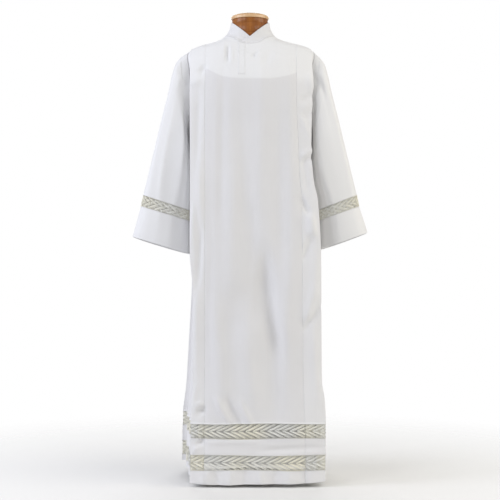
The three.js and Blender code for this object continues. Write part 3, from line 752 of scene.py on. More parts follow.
class Value:
    """A socket's value. + - * / and ** on it add Math nodes to its tree."""

    def __init__(self, graph, socket):
        self.graph = graph
        self.socket = socket

    def math(self, operation, first, *others):
        return self.graph.node("ShaderNodeMath", {"operation": operation}, dict(enumerate((first, *others))))

    def other(self, name):
        return Value(self.graph, self.socket.node.outputs[name])

    def __add__(self, other):
        return self.math("ADD", self, other)

    __radd__ = __add__

    def __sub__(self, other):
        return self.math("SUBTRACT", self, other)

    def __rsub__(self, other):
        return self.math("SUBTRACT", other, self)

    def __mul__(self, other):
        return self.math("MULTIPLY", self, other)

    __rmul__ = __mul__

    def __truediv__(self, other):
        return self.math("DIVIDE", self, other)

    def __rtruediv__(self, other):
        return self.math("DIVIDE", other, self)

    def __pow__(self, other):
        return self.math("POWER", self, other)

    def sine(self):
        return self.math("SINE", self)

    def clamped(self):
        return self.graph.node("ShaderNodeClamp", {}, {"Value": self})


class Graph:
    """A node tree, written as expressions."""

    def __init__(self, tree):
        self.tree = tree

    def node(self, kind, settings=None, inputs=None, output=0):
        made = self.tree.nodes.new(kind)
        for name, value in (settings or {}).items():
            if name == "stops":
                self.set_stops(made.color_ramp, value)
            else:
                setattr(made, name, value)
        for key, value in (inputs or {}).items():
            if isinstance(value, Value):
                self.tree.links.new(value.socket, made.inputs[key])
            else:
                made.inputs[key].default_value = value
        return Value(self, made.outputs[output]) if made.outputs else made

    @staticmethod
    def set_stops(ramp, stops):
        while len(ramp.elements) < len(stops):
            ramp.elements.new(1)
        for element, (place, colour) in zip(ramp.elements, stops):
            element.position = place
            element.color = colour

    def mixed(self, factor, a, b):
        return self.node("ShaderNodeMix", {"data_type": "RGBA"}, {"Factor": factor, 6: a, 7: b}, 2)

    def attribute(self, name):
        return self.node("ShaderNodeAttribute", {"attribute_name": name}, {}, "Fac")

    def noise(self, vector, scale, detail=2.0, roughness=0.5):
        inputs = {"Vector": vector, "Scale": scale, "Detail": detail, "Roughness": roughness}
        return self.node("ShaderNodeTexNoise", {}, inputs, "Fac")

    def stretched(self, vector, scale):
        return self.node("ShaderNodeMapping", {}, {"Vector": vector, "Scale": scale})

    def object_place(self):
        return self.node("ShaderNodeTexCoord", {}, {}, "Object")

    def bump(self, height, distance, strength=1.0, normal=None):
        inputs = {"Height": height, "Distance": distance, "Strength": strength}
        if normal is not None:
            inputs["Normal"] = normal
        return self.node("ShaderNodeBump", {}, inputs)


def material(name, build, **constants):
    """A material whose Principled sockets are set from constants, and linked by build."""
    made = bpy.data.materials.new(name)
    made.use_nodes = True
    tree = made.node_tree
    shader = tree.nodes["Principled BSDF"]
    for key, value in constants.items():
        shader.inputs[key.replace("_", " ")].default_value = value
    graph = Graph(tree)
    for key, value in build(graph).items():
        tree.links.new(value.socket, shader.inputs[key])
    return made


def tone(r, g, b):
    return (r, g, b, 1)


THREAD_SPACING = 0.00055
SATIN_SPACING = 0.0011


def alb_cloth(graph):
    """White cotton blend: a fine plain weave, faint upright slubs, and a lighter tone that is partly real,
    where the cloth lies double, and partly painted light: on the single-layer sleeves, on the upper chest
    that slopes up to the top light, and as a painted highlight along the lower edges.
    """
    place = graph.object_place()
    cut = graph.node("ShaderNodeUVMap", {"uv_map": "cut"})
    slubs = graph.noise(graph.stretched(cut, (260, 5, 1)), 1.0, 3, 0.6)
    cloudy = graph.noise(place, 9, 2, 0.5)
    shade = ((slubs - 0.5) * 0.5 + (cloudy - 0.5) * 0.5) + 0.5
    single = graph.mixed(shade.clamped(), tone(0.705, 0.70, 0.705), tone(0.765, 0.76, 0.76))
    # Lighter tone: partly cloth lying double, partly painted light for the light falling on the sleeves, the
    # upper chest and the lower edges.
    two_layer_and_painted_light_tone = graph.mixed(shade.clamped(), tone(0.785, 0.785, 0.785), tone(0.835, 0.835, 0.835))
    lighter_share_with_painted_light = (graph.attribute("facing") + 0.5).clamped()
    layers = graph.attribute("layers")
    colour = graph.mixed((layers + lighter_share_with_painted_light * (1 - layers)).clamped(), single, two_layer_and_painted_light_tone)
    parts = graph.node("ShaderNodeSeparateXYZ", {}, {0: cut})
    thread = 2 * math.pi / THREAD_SPACING
    warp = (parts * thread).sine()
    weft = (parts.other("Y") * thread).sine()
    weave = warp * weft + slubs * 0.8
    return {
        "Base Color": colour,
        "Roughness": 0.8 + (cloudy - 0.5) * 0.1,
        "Normal": graph.bump(weave, 0.00012, 0.5),
    }


def lace_thread(graph):
    """Satin-stitched leaves, cream and silvery by turns, on a fine net."""
    cut = graph.node("ShaderNodeUVMap", {"uv_map": "cut"})
    leaf = graph.attribute("leaf").clamped()
    gold = graph.attribute("gold").clamped()
    parts = graph.node("ShaderNodeSeparateXYZ", {}, {0: cut})
    stitches = (parts * (2 * math.pi / SATIN_SPACING)).sine()
    fray = graph.noise(graph.object_place(), 700, 2, 0.6)
    silver = graph.mixed(fray, tone(0.80, 0.80, 0.75), tone(0.97, 0.97, 0.93))
    cream = graph.mixed(fray, tone(0.90, 0.87, 0.71), tone(0.99, 0.97, 0.85))
    satin = graph.mixed(gold, silver, cream)
    net = graph.mixed(gold, tone(0.68, 0.68, 0.61), tone(0.77, 0.74, 0.6))
    return {
        "Base Color": graph.mixed(leaf, net, satin),
        "Roughness": 0.42 + fray * 0.3,
        "Normal": graph.bump(stitches * leaf + fray * 0.6, 0.00025, 0.8),
    }


def stitch_thread(graph):
    twist = graph.noise(graph.object_place(), 900, 2, 0.6)
    return {"Base Color": graph.mixed(twist, tone(0.66, 0.66, 0.68), tone(0.86, 0.86, 0.87))}


def varnished(dark, light, rings):
    """Turned wood under varnish: drawn-out grain and pores."""
    def build(graph):
        place = graph.object_place()
        warped = graph.noise(graph.stretched(place, (9, 9, 2.5)), 2.0, 2, 0.5)
        grain = graph.noise(graph.stretched(place, (rings, rings, rings * 0.09)), 1.0, 5, 0.65)
        pores = graph.noise(graph.stretched(place, (900, 900, 60)), 1.0, 2, 0.6)
        figure = (warped * 7 + grain * 3).sine() * 0.25 + 0.5 + (grain - 0.5) * 0.9
        colour = graph.mixed(figure.clamped(), tone(*dark), tone(*light))
        dark_pores = ((pores - 0.6) * 6).clamped()
        pore = tone(dark[0] * 0.5, dark[1] * 0.45, dark[2] * 0.4)
        return {
            "Base Color": graph.mixed(dark_pores * 0.5, colour, pore),
            "Roughness": 0.3 + grain * 0.15,
            "Normal": graph.bump(grain - dark_pores * 0.4, 0.0003, 0.5),
        }
    return build


def cover_jersey(graph):
    """The form's knitted cover: ribs of small stitches."""
    parts = graph.node("ShaderNodeSeparateXYZ", {}, {0: graph.object_place()})
    rib = ((parts + parts.other("Y") * 0.3) * 2600).sine()
    course = (parts.other("Z") * 3400).sine()
    blotch = graph.noise(graph.object_place(), 14, 3, 0.55)
    return {
        "Base Color": graph.mixed(blotch, tone(0.60, 0.54, 0.44), tone(0.74, 0.69, 0.59)),
        "Normal": graph.bump(rib * 0.6 + course * 0.4, 0.0003, 0.6),
    }


def brushed_steel(graph):
    lines = graph.noise(graph.stretched(graph.object_place(), (30, 30, 2400)), 1.0, 3, 0.6)
    return {
        "Base Color": graph.mixed(lines, tone(0.50, 0.50, 0.51), tone(0.66, 0.66, 0.67)),
        "Roughness": 0.26 + lines * 0.2,
        "Normal": graph.bump(lines, 0.0001, 0.4),
    }


def cast_iron(graph):
    """Black stove enamel over sand-cast iron, worn a little greyer in scattered patches."""
    sand = graph.noise(graph.object_place(), 420, 4, 0.65)
    wear = ((graph.noise(graph.object_place(), 26, 4, 0.6) - 0.6) * 5).clamped()
    return {
        "Base Color": graph.mixed(wear, tone(0.018, 0.018, 0.02), tone(0.09, 0.088, 0.085)),
        "Roughness": 0.45 + sand * 0.25,
        "Normal": graph.bump(sand, 0.0006, 0.6),
    }


CLOTH = material("alb_cloth", alb_cloth, Sheen_Weight=0.3, Sheen_Roughness=0.5, Specular_IOR_Level=0.25)
LACE = material("lace_thread", lace_thread, Sheen_Weight=0.2, Specular_IOR_Level=0.5)
THREAD = material("stitch_thread", stitch_thread, Roughness=0.7)
# The neck block and its cap are one varnished wood: the cap's lighter tone is painted light for the top light
# on its dome, and the neck's darker tone is painted shade on its upright side.
NECK_GRAIN_PAINTED_SHADE = varnished((0.19, 0.055, 0.008), (0.44, 0.165, 0.03), 120)
CAP_GRAIN_PAINTED_LIGHT = varnished((0.56, 0.33, 0.15), (0.82, 0.58, 0.34), 150)
NECK_WOOD_PAINTED_SHADE = material("neck_wood", NECK_GRAIN_PAINTED_SHADE, Coat_Weight=0.1, Specular_IOR_Level=0.3)
CAP_WOOD_PAINTED_LIGHT = material("cap_wood", CAP_GRAIN_PAINTED_LIGHT, Coat_Weight=0.3, Coat_Roughness=0.2)
COVER = material("form_cover", cover_jersey, Roughness=0.85, Sheen_Weight=0.3)
STEEL = material("pole_steel", brushed_steel, Metallic=1.0)
IRON = material("base_iron", cast_iron, Specular_IOR_Level=0.4)


# ---------- Repeats, grown by node trees ----------

def new_tree(name, sockets):
    """A geometry tree with named inputs; returns its graph and its inputs by name."""
    tree = bpy.data.node_groups.new(name, "GeometryNodeTree")
    tree.interface.new_socket("Geometry", in_out="OUTPUT", socket_type="NodeSocketGeometry")
    tree.interface.new_socket("Geometry", in_out="INPUT", socket_type="NodeSocketGeometry")
    for label, kind in sockets.items():
        tree.interface.new_socket(label, in_out="INPUT", socket_type="NodeSocket" + kind)
    graph = Graph(tree)
    start = graph.node("NodeGroupInput")
    return graph, {name: start.other(name) for name in ("Geometry", *sockets)}


def end_tree(graph, instances, finish):
    """Every tree ends with real faces in their own material."""
    real = graph.node("GeometryNodeRealizeInstances", {}, {"Geometry": instances})
    coated = graph.node("GeometryNodeSetMaterial", {}, {"Geometry": real, "Material": finish})
    graph.node("NodeGroupOutput", {}, {"Geometry": coated})
    return graph.tree


def repeat_tree():
    """Sets a length of lace again and again along X."""
    graph, given = new_tree("lace_repeats", {"Count": "Int", "Spacing": "Float", "Finish": "Material"})
    offset = graph.node("ShaderNodeCombineXYZ", {}, {"X": given["Spacing"]})
    line = graph.node("GeometryNodeMeshLine", {"mode": "OFFSET"}, {"Count": given["Count"], "Offset": offset})
    placed = graph.node("GeometryNodeInstanceOnPoints", {}, {"Points": line, "Instance": given["Geometry"]})
    return end_tree(graph, placed, given["Finish"])


def stitch_tree():
    """Lays small stitches end to end along the edges of a mesh of lines."""
    sockets = {"Pitch": "Float", "Length": "Float", "Thickness": "Float", "Finish": "Material"}
    graph, given = new_tree("stitch_line", sockets)
    curve = graph.node("GeometryNodeMeshToCurve", {}, {"Mesh": given["Geometry"]})
    along = {"Curve": curve, "Length": given["Pitch"]}
    points = graph.node("GeometryNodeCurveToPoints", {"mode": "LENGTH"}, along)
    bead = graph.node("GeometryNodeMeshUVSphere", {}, {"Segments": 6, "Rings": 4, "Radius": 0.5})
    size = graph.node(
        "ShaderNodeCombineXYZ", {}, {"X": given["Thickness"], "Y": given["Thickness"], "Z": given["Length"]},
    )
    placed = graph.node(
        "GeometryNodeInstanceOnPoints", {},
        {"Points": points, "Instance": bead, "Rotation": points.other("Rotation"), "Scale": size},
    )
    return end_tree(graph, placed, given["Finish"])


REPEATS = repeat_tree()
STITCHES = stitch_tree()


def grown(obj, tree, **values):
    """Runs a tree on an object and keeps its result as a plain mesh in its place."""
    grower = obj.modifiers.new("grow", "NODES")
    grower.node_group = tree
    for item in tree.interface.items_tree:
        if item.in_out == "INPUT" and item.name in values:
            grower[item.identifier] = values[item.name]
    state = bpy.context.evaluated_depsgraph_get()
    state.update()
    mesh = bpy.data.meshes.new_from_object(obj.evaluated_get(state))
    obj.modifiers.remove(grower)
    name, old = obj.name, obj.data
    obj.data = mesh
    bpy.data.meshes.remove(old)
    mesh.name = name
    return obj


def stitched(name, lines, lift=0.5, pitch=3.6, length=2.6, thickness=0.55):
    """A row of stitches along each line of points, standing just on the cloth."""
    points, edges = [], []
    for line, normal in lines:
        start = len(points)
        points.extend(line + normal * lift)
        edges.extend((start + n, start + n + 1) for n in range(len(line) - 1))
    obj = new_object(name, points, [], edges)
    grown(obj, STITCHES, Pitch=pitch * MM, Length=length * MM, Thickness=thickness * MM, Finish=THREAD)
    obj.data.polygons.foreach_set("use_smooth", [True] * len(obj.data.polygons))
    return obj


def grid_normals(grid, around, closed=False):
    """The outward normals of a grid of points, one for each point."""
    if closed:
        along = np.roll(grid, -1, axis=1) - np.roll(grid, 1, axis=1)
    else:
        along = np.gradient(grid, axis=1)
    down = np.gradient(grid, axis=0)
    normal = np.cross(along, down)
    normal /= np.maximum(1e-9, np.linalg.norm(normal, axis=-1, keepdims=True))
    if np.nansum(normal * (grid - around)) < 0:
        normal = -normal
    return normal


# ---------- Lace ----------

NETS_A_PITCH, NET_SLOPE = 5, 58
LEAF_SECTION = ((-1, 0), (-0.45, 0.8), (0, 1), (0.45, 0.8), (1, 0), (0, -0.5))


def leaf_part(start, end, width, height, bend, tone_value):
    """A satin-stitched leaf from start to end, in the lace's own flat coordinates."""
    stations = 8
    start, end = np.array(start, float), np.array(end, float)
    along = end - start
    sideways = np.array([-along[1], along[0]]) / np.linalg.norm(along)
    points = []
    for n in range(stations + 1):
        t = n / stations
        middle = start + along * t + sideways * bend * math.sin(math.pi * t)
        half = width / 2 * (0.5 + 0.5 * math.sin(math.pi * t**0.85) ** 0.75)
        full = height * (0.35 + 0.65 * math.sin(math.pi * t))
        for side, up in LEAF_SECTION:
            points.append([*(middle + sideways * side * half), up * full])
    ring = len(LEAF_SECTION)
    faces = [
        (n * ring + k, n * ring + (k + 1) % ring, (n + 1) * ring + (k + 1) % ring, (n + 1) * ring + k)
        for n in range(stations)
        for k in range(ring)
    ]
    faces.append(tuple(range(ring - 1, -1, -1)))
    faces.append(tuple(stations * ring + k for k in range(ring)))
    return points, faces, tone_value


def thread_part(route, radius, tone_value=0.0):
    """A three-sided thread through flat points."""
    route = np.array(route, float)
    ahead = np.gradient(route, axis=0)[:, :2]
    ahead /= np.linalg.norm(ahead, axis=1, keepdims=True)
    sideways = np.stack([-ahead[:, 1], ahead[:, 0], 0 * ahead[:, 0]], -1)
    up = np.array([0, 0, 1.0])
    points = []
    for place, side in zip(route, sideways):
        for turn in (90, 210, 330):
            angle = math.radians(turn)
            points.append(place + radius * (side * math.cos(angle) + up * math.sin(angle)))
    faces = [
        (n * 3 + k, n * 3 + (k + 1) % 3, n * 3 + 3 + (k + 1) % 3, n * 3 + 3 + k)
        for n in range(len(route) - 1)
        for k in range(3)
    ]
    faces.append((2, 1, 0))
    faces.append(tuple((len(route) - 1) * 3 + k for k in range(3)))
    return [list(p) for p in points], faces, tone_value


def lace_unit(name, width, pitch, chevrons, slope, point_way, net_radius=0.24):
    """One repeat of the lace, flat: chevrons of leaves between two corded edges, on a diamond net.

    chevrons holds, for each chevron of the repeat, its leaves: each an offset, a width and a tone.
    point_way is 1 where the chevrons point along the lace and -1 where they point back.
    """
    parts = []
    half = width / 2
    run = half / math.tan(math.radians(slope))
    length = pitch * len(chevrons)
    for n, leaves in enumerate(chevrons):
        tip = n * pitch
        for offset, leaf_width, tone_value in leaves:
            for side in (-1, 1):
                start = (tip + offset, half - side * 0.3)
                end = (tip + offset - point_way * run, half + side * (half - 0.8))
                bend = side * point_way * 0.9
                parts.append(leaf_part(start, end, leaf_width, 0.3 + leaf_width / 5, bend, tone_value))
    spacing = pitch / NETS_A_PITCH
    steps = max(6, round(width / 4.5))
    lean = width / math.tan(math.radians(NET_SLOPE))
    for n in range(round(length / spacing)):
        for way in (-1, 1):
            shares = [s / steps for s in range(steps + 1)]
            route = [(n * spacing + way * lean * (s - 0.5), width * s, 0.05 * way) for s in shares]
            parts.append(thread_part(route, net_radius))
    for edge, out in ((0.6, -1), (width - 0.6, 1)):
        route = [(length * s / 12, edge, 0.1) for s in range(13)]
        parts.append(thread_part(route, 0.85, 0.8))
        loops = round(length / 3.4)
        for n in range(loops):
            middle = (n + 0.5) * length / loops
            turns = [math.pi * s / 4 for s in range(5)]
            route = [(middle + 1.25 * math.cos(t), edge + out * 2.1 * math.sin(t), 0.75) for t in turns]
            parts.append(thread_part(route, 0.33, 0.8))
    points, faces, leaf_tones = [], [], []
    for part_points, part_faces, tone_value in parts:
        start = len(points)
        points.extend(part_points)
        faces.extend([start + k for k in face] for face in part_faces)
        leaf_tones.extend([tone_value] * len(part_points))
    obj = new_object(name, points, faces)
    obj.data.attributes.new("leaf", "FLOAT", "POINT").data.foreach_set("value", leaf_tones)
    return obj, length


def lace_object(name, unit, top, foot, around, gold_at, closed=False):
    """Repeats a unit of lace and bends it onto the band between two lines of points."""
    make, width = unit
    if closed:
        top, foot = np.vstack([top, top[:1]]), np.vstack([foot, foot[:1]])
    lengths = cumulative((top + foot) / 2)
    obj, length = make(name)
    count = max(1, round(lengths[-1] / length))
    grown(obj, REPEATS, Count=count, Spacing=length * MM, Finish=LACE)
    mesh = obj.data
    flat = np.zeros(len(mesh.vertices) * 3)
    mesh.vertices.foreach_get("co", flat)
    flat = flat.reshape(-1, 3) / MM
    place = flat[:, 0] * lengths[-1] / (length * count)
    place = place % lengths[-1] if closed else np.clip(place, 0, lengths[-1])
    share = flat[:, 1] / width
    upper = np.stack([np.interp(place, lengths, top[:, k]) for k in range(3)], -1)
    lower = np.stack([np.interp(place, lengths, foot[:, k]) for k in range(3)], -1)
    tangent = np.gradient((top + foot) / 2, axis=0)
    normal = np.cross(tangent, foot - top)
    normal /= np.maximum(1e-9, np.linalg.norm(normal, axis=1, keepdims=True))
    if (normal * ((top + foot) / 2 - around.mean(0))).sum() < 0:
        normal = -normal
    lift = np.stack([np.interp(place, lengths, normal[:, k]) for k in range(3)], -1)
    points = mix(upper, lower, share[:, None]) + lift * flat[:, 2:]
    mesh.vertices.foreach_set("co", (points * MM).ravel())
    if closed:
        check_closed(mesh, lengths[-1] * MM / 2)
    loops = np.zeros(len(mesh.loops), int)
    mesh.loops.foreach_get("vertex_index", loops)
    mesh.uv_layers.new(name="cut").data.foreach_set("uv", (flat[loops][:, :2] * MM).ravel())
    mesh.attributes.new("gold", "FLOAT", "POINT").data.foreach_set("value", gold_at(points, place))
    mesh.polygons.foreach_set("use_smooth", [True] * len(mesh.polygons))
    mesh.update()
    return obj


def check_closed(mesh, limit):
    """Stops the script where an edge runs across a band, so that its lace doesn't close on itself."""
    vertices = mesh.vertices
    ends = [[vertices[k].co for k in edge.vertices] for edge in mesh.edges]
    if max((a - b).length for a, b in ends) > limit:
        raise ValueError(f"{mesh.name}: the lace does not close on itself")


CREAM, SILVER = 1.0, 0.85
HEM_LACE_WIDTH, CUFF_LACE_WIDTH = LEVELS.upper_lace - LEVELS.spacer, 34
LACE_PITCH = 24


def hem_unit(name):
    """Dense chevrons before and after an open one, each a wide leaf, a narrower one and a fine one."""
    dense = ((0, 4.5, CREAM), (8.4, 3.0, SILVER), (16.8, 0.9, CREAM))
    open_work = ((0, 4.0, SILVER), (7.8, 2.4, SILVER), (16, 0.8, CREAM))
    return lace_unit(name, HEM_LACE_WIDTH, LACE_PITCH, (dense, open_work, dense), 26, -1)


HEM_LACE = (hem_unit, HEM_LACE_WIDTH)


def cuff_unit(name):
    """One chevron, on a thicker net than the hem's."""
    leaves = ((0, 4.2, CREAM), (7.4, 2.5, CREAM), (15.4, 0.9, CREAM))
    return lace_unit(name, CUFF_LACE_WIDTH, LACE_PITCH, (leaves,), 28, 1, 0.42)


CUFF_LACE = (cuff_unit, CUFF_LACE_WIDTH)


# ---------- Front, back and the skirt's bands ----------

def riding(obj, node, finish=None):
    """Puts a piece in its node's place."""
    if finish is not None:
        obj.data.materials.clear()
        obj.data.materials.append(finish)
    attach(obj, "root")
    if node:
        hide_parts(node)
    return obj


def axis_of(grid):
    """The middle line that a body piece goes round."""
    middle = np.zeros_like(grid)
    middle[..., 2] = grid[..., 2]
    return middle


def folded_edge(grid, around):
    """Moves a grid's lowest rows out into the small ridge of a turned and stitched edge."""
    above = grid[..., 2] - grid[-1:, :, 2]
    rise = np.nan_to_num(EDGE_RIDGE.rise * smooth(1 - above / EDGE_RIDGE.height))
    return grid + np.nan_to_num(grid_normals(grid, around)) * rise[..., None]


def distance_above_facing_and_painted_light(face, grid):
    """How far a point is above the lower edge of the lighter tone across the chest, in its soft widths; that
    tone is partly the second layer of cloth inside the chest, partly painted light.
    """
    x, z = grid[..., 0], grid[..., 2]
    strips = np.array([c.strip for c in PANELS[face]])[None, :]
    edge = read(FACING_AND_PAINTED_LIGHT_LINE, "height", x, "across") if face < 0 else BACK_FACING_AND_PAINTED_LIGHT_HEIGHT
    return np.nan_to_num(mix((z - edge) / FACING_AND_PAINTED_LIGHT_SOFTNESS, (z - STRIP_FACING_AND_PAINTED_LIGHT_HEIGHT) / STRIP_FACING_AND_PAINTED_LIGHT_SOFTNESS, strips))


for face, name, cut in ((-1, "front", (1.16, 1.31, 1.10)), (1, "back", (1.18, 1.31, 1.13))):
    columns = PANELS[face]
    grid = creased_points(face, columns, panel_grid(face))
    # The pleats' strips get part of the lighter tone: partly their extra cloth, partly painted light for the
    # side light they catch.
    strips = 0.4 * np.array([c.strip for c in columns])[None, :]
    around = axis_of(grid)
    grid = folded_edge(grid, around)
    # The lowest rows get the lighter tone too: partly the turned cloth lying double, partly a painted
    # highlight along the edge.
    turned_edge_and_painted_highlight = (TURNED_EDGE_AND_PAINTED_HIGHLIGHT - (grid[..., 2] - grid[-1:, :, 2])) / TURNED_EDGE_AND_PAINTED_HIGHLIGHT
    facing = np.maximum(distance_above_facing_and_painted_light(face, grid), np.nan_to_num(turned_edge_and_painted_highlight, nan=-9))
    panel = sheet_object(name + "_panel_cloth", grid, strips, around, facing=facing)
    riding(panel, name + "_panel", CLOTH)
    normal = grid_normals(grid[-6:], around[-6:])
    lines = [(grid[-4], normal[-4])]
    for band, top, foot, size in (
        ("spacer_band", LEVELS.spacer, LEVELS.lower_lace, 0.056),
        ("hem_band", LEVELS.hem, LEVELS.foot, 0.047),
    ):
        steps = np.concatenate([[0, 0.02, 0.07, 0.1], np.linspace(0.16, 0.84, 9), [0.9, 0.93, 0.98, 1]])
        band_points = creased_points(face, columns, band_grid(face, top, foot, steps))
        piece = sheet_object(f"{name}_{band}_cloth", band_points, 0.1, axis_of(band_points))
        riding(piece, f"{name}_{band}", CLOTH)
        normal = grid_normals(band_points, axis_of(band_points))
        lines.append((band_points[3], normal[3]))
        lines.append((band_points[-4], normal[-4]))
    for band, top, foot in (
        ("upper_lace", LEVELS.upper_lace, LEVELS.spacer),
        ("lower_lace", LEVELS.lower_lace, LEVELS.hem),
    ):
        edges = creased_points(face, columns, band_grid(face, top, foot, (0, 1)))
        turn = 0.0 if band == "upper_lace" else 1.4

        def gold_at(points, place, turn=turn):
            wave = np.sin(place / 31 + turn) + 0.8 * np.sin(place / 53 + 2 * turn + 1)
            return smooth(0.5 + 0.35 * wave)

        lace = lace_object(f"{name}_{band}_thread", HEM_LACE, edges[0], edges[1], axis_of(edges)[0], gold_at)
        riding(lace, f"{name}_{band}")
    riding(stitched(name + "_stitches", lines), None)


# ---------- Placket ----------

FINE_STITCH = {"pitch": 3.0, "length": 2.2, "thickness": 0.45}


def placket_grid():
    """A folded strip lying on the front below the neckline."""
    xs = PLACKET.left + np.array([0, 0.6, 2, 6, 11, 16, 20, 21.4, 22])
    lift = np.array([0, 0.12, 0.2, 0.2, 0.2, 0.2, 0.2, 0.12, 0])
    grid = np.zeros((40, len(xs), 3))
    for j, x in enumerate(xs):
        top = float(read(NECKLINE, "height", -x, "across"))
        heights = mix(top, PLACKET.foot, np.linspace(0, 1, 40))
        base = point_across(-1, -1, -x + 0 * heights, heights)
        out = outward(-1, -1, base)
        forward = np.abs(out[:, 1]) ** FORWARD_POWER
        distance = PLACKET.above + lift[j] + creased(FRONT_CREASES, base[:, 0], base[:, 2]) * forward
        grid[:, j] = base + out * distance[:, None]
    return grid


placket_points = placket_grid()
placket = sheet_object("placket_cloth", placket_points, 1.0, axis_of(placket_points))
riding(placket, "placket", CLOTH)
placket_out = grid_normals(placket_points, axis_of(placket_points))
foot_rows = np.stack([placket_points[-3, 2:-2], placket_points[-6, 2:-2]])
placket_lines = [
    (placket_points[:-3, 2], placket_out[:-3, 2]),
    (placket_points[:-3, -3], placket_out[:-3, -3]),
    (foot_rows[0], placket_out[-3, 2:-2]),
    (foot_rows[1], placket_out[-6, 2:-2]),
]
riding(stitched("placket_stitches", placket_lines, **FINE_STITCH), None)


# ---------- Collar ----------

def collar_grid():
    steps, count = 150, 16
    levels = np.linspace(0, 1, count)[:, None]
    shares = np.linspace(0, 1, steps + 1)[None, :]
    degrees = mix(-COLLAR.end_slant + COLLAR.end_slant * levels, 360 + COLLAR.under_end, shares)
    turn = np.radians(degrees)
    inward = COLLAR.lap * shares
    in_front = np.cos(turn) > 0
    across = np.abs(np.sin(turn))
    deep = np.where(in_front, COLLAR.base_front, COLLAR.base_back)
    foot = np.where(in_front, read(NECKLINE, "height", NECK_HALF * across, "across"), NECK_TOP) + COLLAR.lift
    rise = np.where(in_front, mix(COLLAR.front_top, COLLAR.side_top, across), COLLAR.side_top)
    spread = (1 - levels) ** COLLAR.flare_power
    radius_x = mix(COLLAR.top_radius, COLLAR.base_across, spread) - inward
    radius_y = mix(COLLAR.top_radius, deep, spread) - inward
    height = mix(foot, rise, levels)
    around = (degrees + 180) % 360 - 180
    hump = creased(COLLAR_CREASES, around, height)
    grid = np.stack([(radius_x + hump) * np.sin(turn), -(radius_y + hump) * np.cos(turn), height], -1)
    return mix(neck_edge(turn), grid, smooth(levels / COLLAR.turned)[..., None])


def neck_edge(turn):
    """Points on the neck's edge of the panels, where the collar is sewn on."""
    x = np.minimum(NECK_HALF * np.abs(np.sin(turn)), NECK_HALF - 0.01)
    in_front = np.cos(turn) > 0
    height = np.where(in_front, read(NECKLINE, "height", x, "across"), NECK_TOP) + COLLAR.stand_off
    shared = np.sin(turn) >= 0
    half = np.where(shared, corner_half(1, height), corner_half(-1, height))
    depth = np.where(in_front, depth_of(-1, height), depth_of(1, height)) + COLLAR.stand_off
    y = np.where(in_front, -1, 1) * depth * other_share(x / half, square_of(height))
    return np.stack([np.where(shared, x, -x), y, height], -1)


collar_points = collar_grid()
collar_middle = axis_of(collar_points)
collar = sheet_object("collar_cloth", collar_points, 0.2, collar_middle, wall=1.4)
riding(collar, "collar", CLOTH)
collar_out = grid_normals(collar_points, collar_middle)
collar_lines = [(collar_points[-2, 3:], collar_out[-2, 3:]), (collar_points[1, 3:], collar_out[1, 3:])]
collar_lines.append((collar_points[1:-1, 2], collar_out[1:-1, 2]))
collar_stitches = stitched("collar_stitches", collar_lines, lift=0.75, **FINE_STITCH)
riding(collar_stitches, None)


# ---------- Sleeves ----------

RING_STEPS = 96
TURNS = np.arange(RING_STEPS) * 2 * math.pi / RING_STEPS


def armhole_ring(hand):
    height = ARMHOLE.middle + (ARMHOLE.half_height - SLEEVE_START) * np.cos(TURNS)
    y = -(ARMHOLE.half_depth - 0.5) * np.sin(TURNS)
    ring = np.zeros((RING_STEPS, 3))
    for face in (-1, 1):
        mine = y < 0 if face < 0 else y >= 0
        deep = np.abs(y[mine]) / depth_of(face, height[mine])
        ring[mine] = body_point(hand, face, other_share(deep, square_of(height[mine])), deep, height[mine])
    ring[:, 0] += hand * SLEEVE_START
    return ring


def signed_power(value, power):
    return np.sign(value) * np.abs(value) ** power


def sleeve_ring(hand, place):
    """The ring at a place between the sleeve's rings, 1 to 10."""
    def value(column):
        return float(read(SLEEVE, column, place, "ring"))

    lift = CUFF_LIFT[hand] * smooth(place - CUFF_RING)
    top = np.array([hand * value("outer"), 0, value("outerheight")])
    foot = np.array([hand * value("inner" + word(hand)), 0, value("innerheight")])
    centre, half = (top + foot) / 2, (top - foot) / 2
    squarer = smooth((place - 0.5) / 4) * (1 - smooth((place - 5) / 4.5)) if place > 1 else 0
    square = mix(RING_SQUARE, SLEEVE_SQUARE, squarer)
    along = signed_power(np.cos(TURNS), 2 / square)
    deep = signed_power(np.sin(TURNS), 2 / square)
    opened = smooth(place / 3) * mix(1, 0.8, smooth(place - CUFF_RING))
    degrees = np.degrees(TURNS)
    hollow = opened * folds_at(SLEEVE_FOLDS[hand], degrees)
    point = along[:, None] * half + np.outer(-value(word(hand)) * deep, (0, 1, 0))
    point *= (1 - hollow / np.linalg.norm(point, axis=1))[:, None]
    drop = CUFF_BACK_DROP * smooth(place - CUFF_RING) * np.clip(-deep, 0, 1)
    return point + centre + np.array([0, 0, 1]) * (lift - drop)[:, None]


def sleeve_points(hand, places):
    """Rings at the places asked for; below 1 they run on from the armhole."""
    start, first = armhole_ring(hand), sleeve_ring(hand, 1)
    rings = [mix(start, first, place) if place < 1 else sleeve_ring(hand, place) for place in places]
    grid = np.stack(rings)
    centre = grid.mean(1, keepdims=True)
    out = grid_normals(grid, centre, True)
    degrees = np.degrees(TURNS)[None, :]
    share = 100 * np.array(places)[:, None] / CUFF_FOOT_RING
    fade = smooth(np.array(places) / 1.2)[:, None]
    distance = fade * creased(SLEEVE_CREASES[hand], degrees, share)
    return grid + out * distance[..., None], np.broadcast_to(centre, grid.shape)


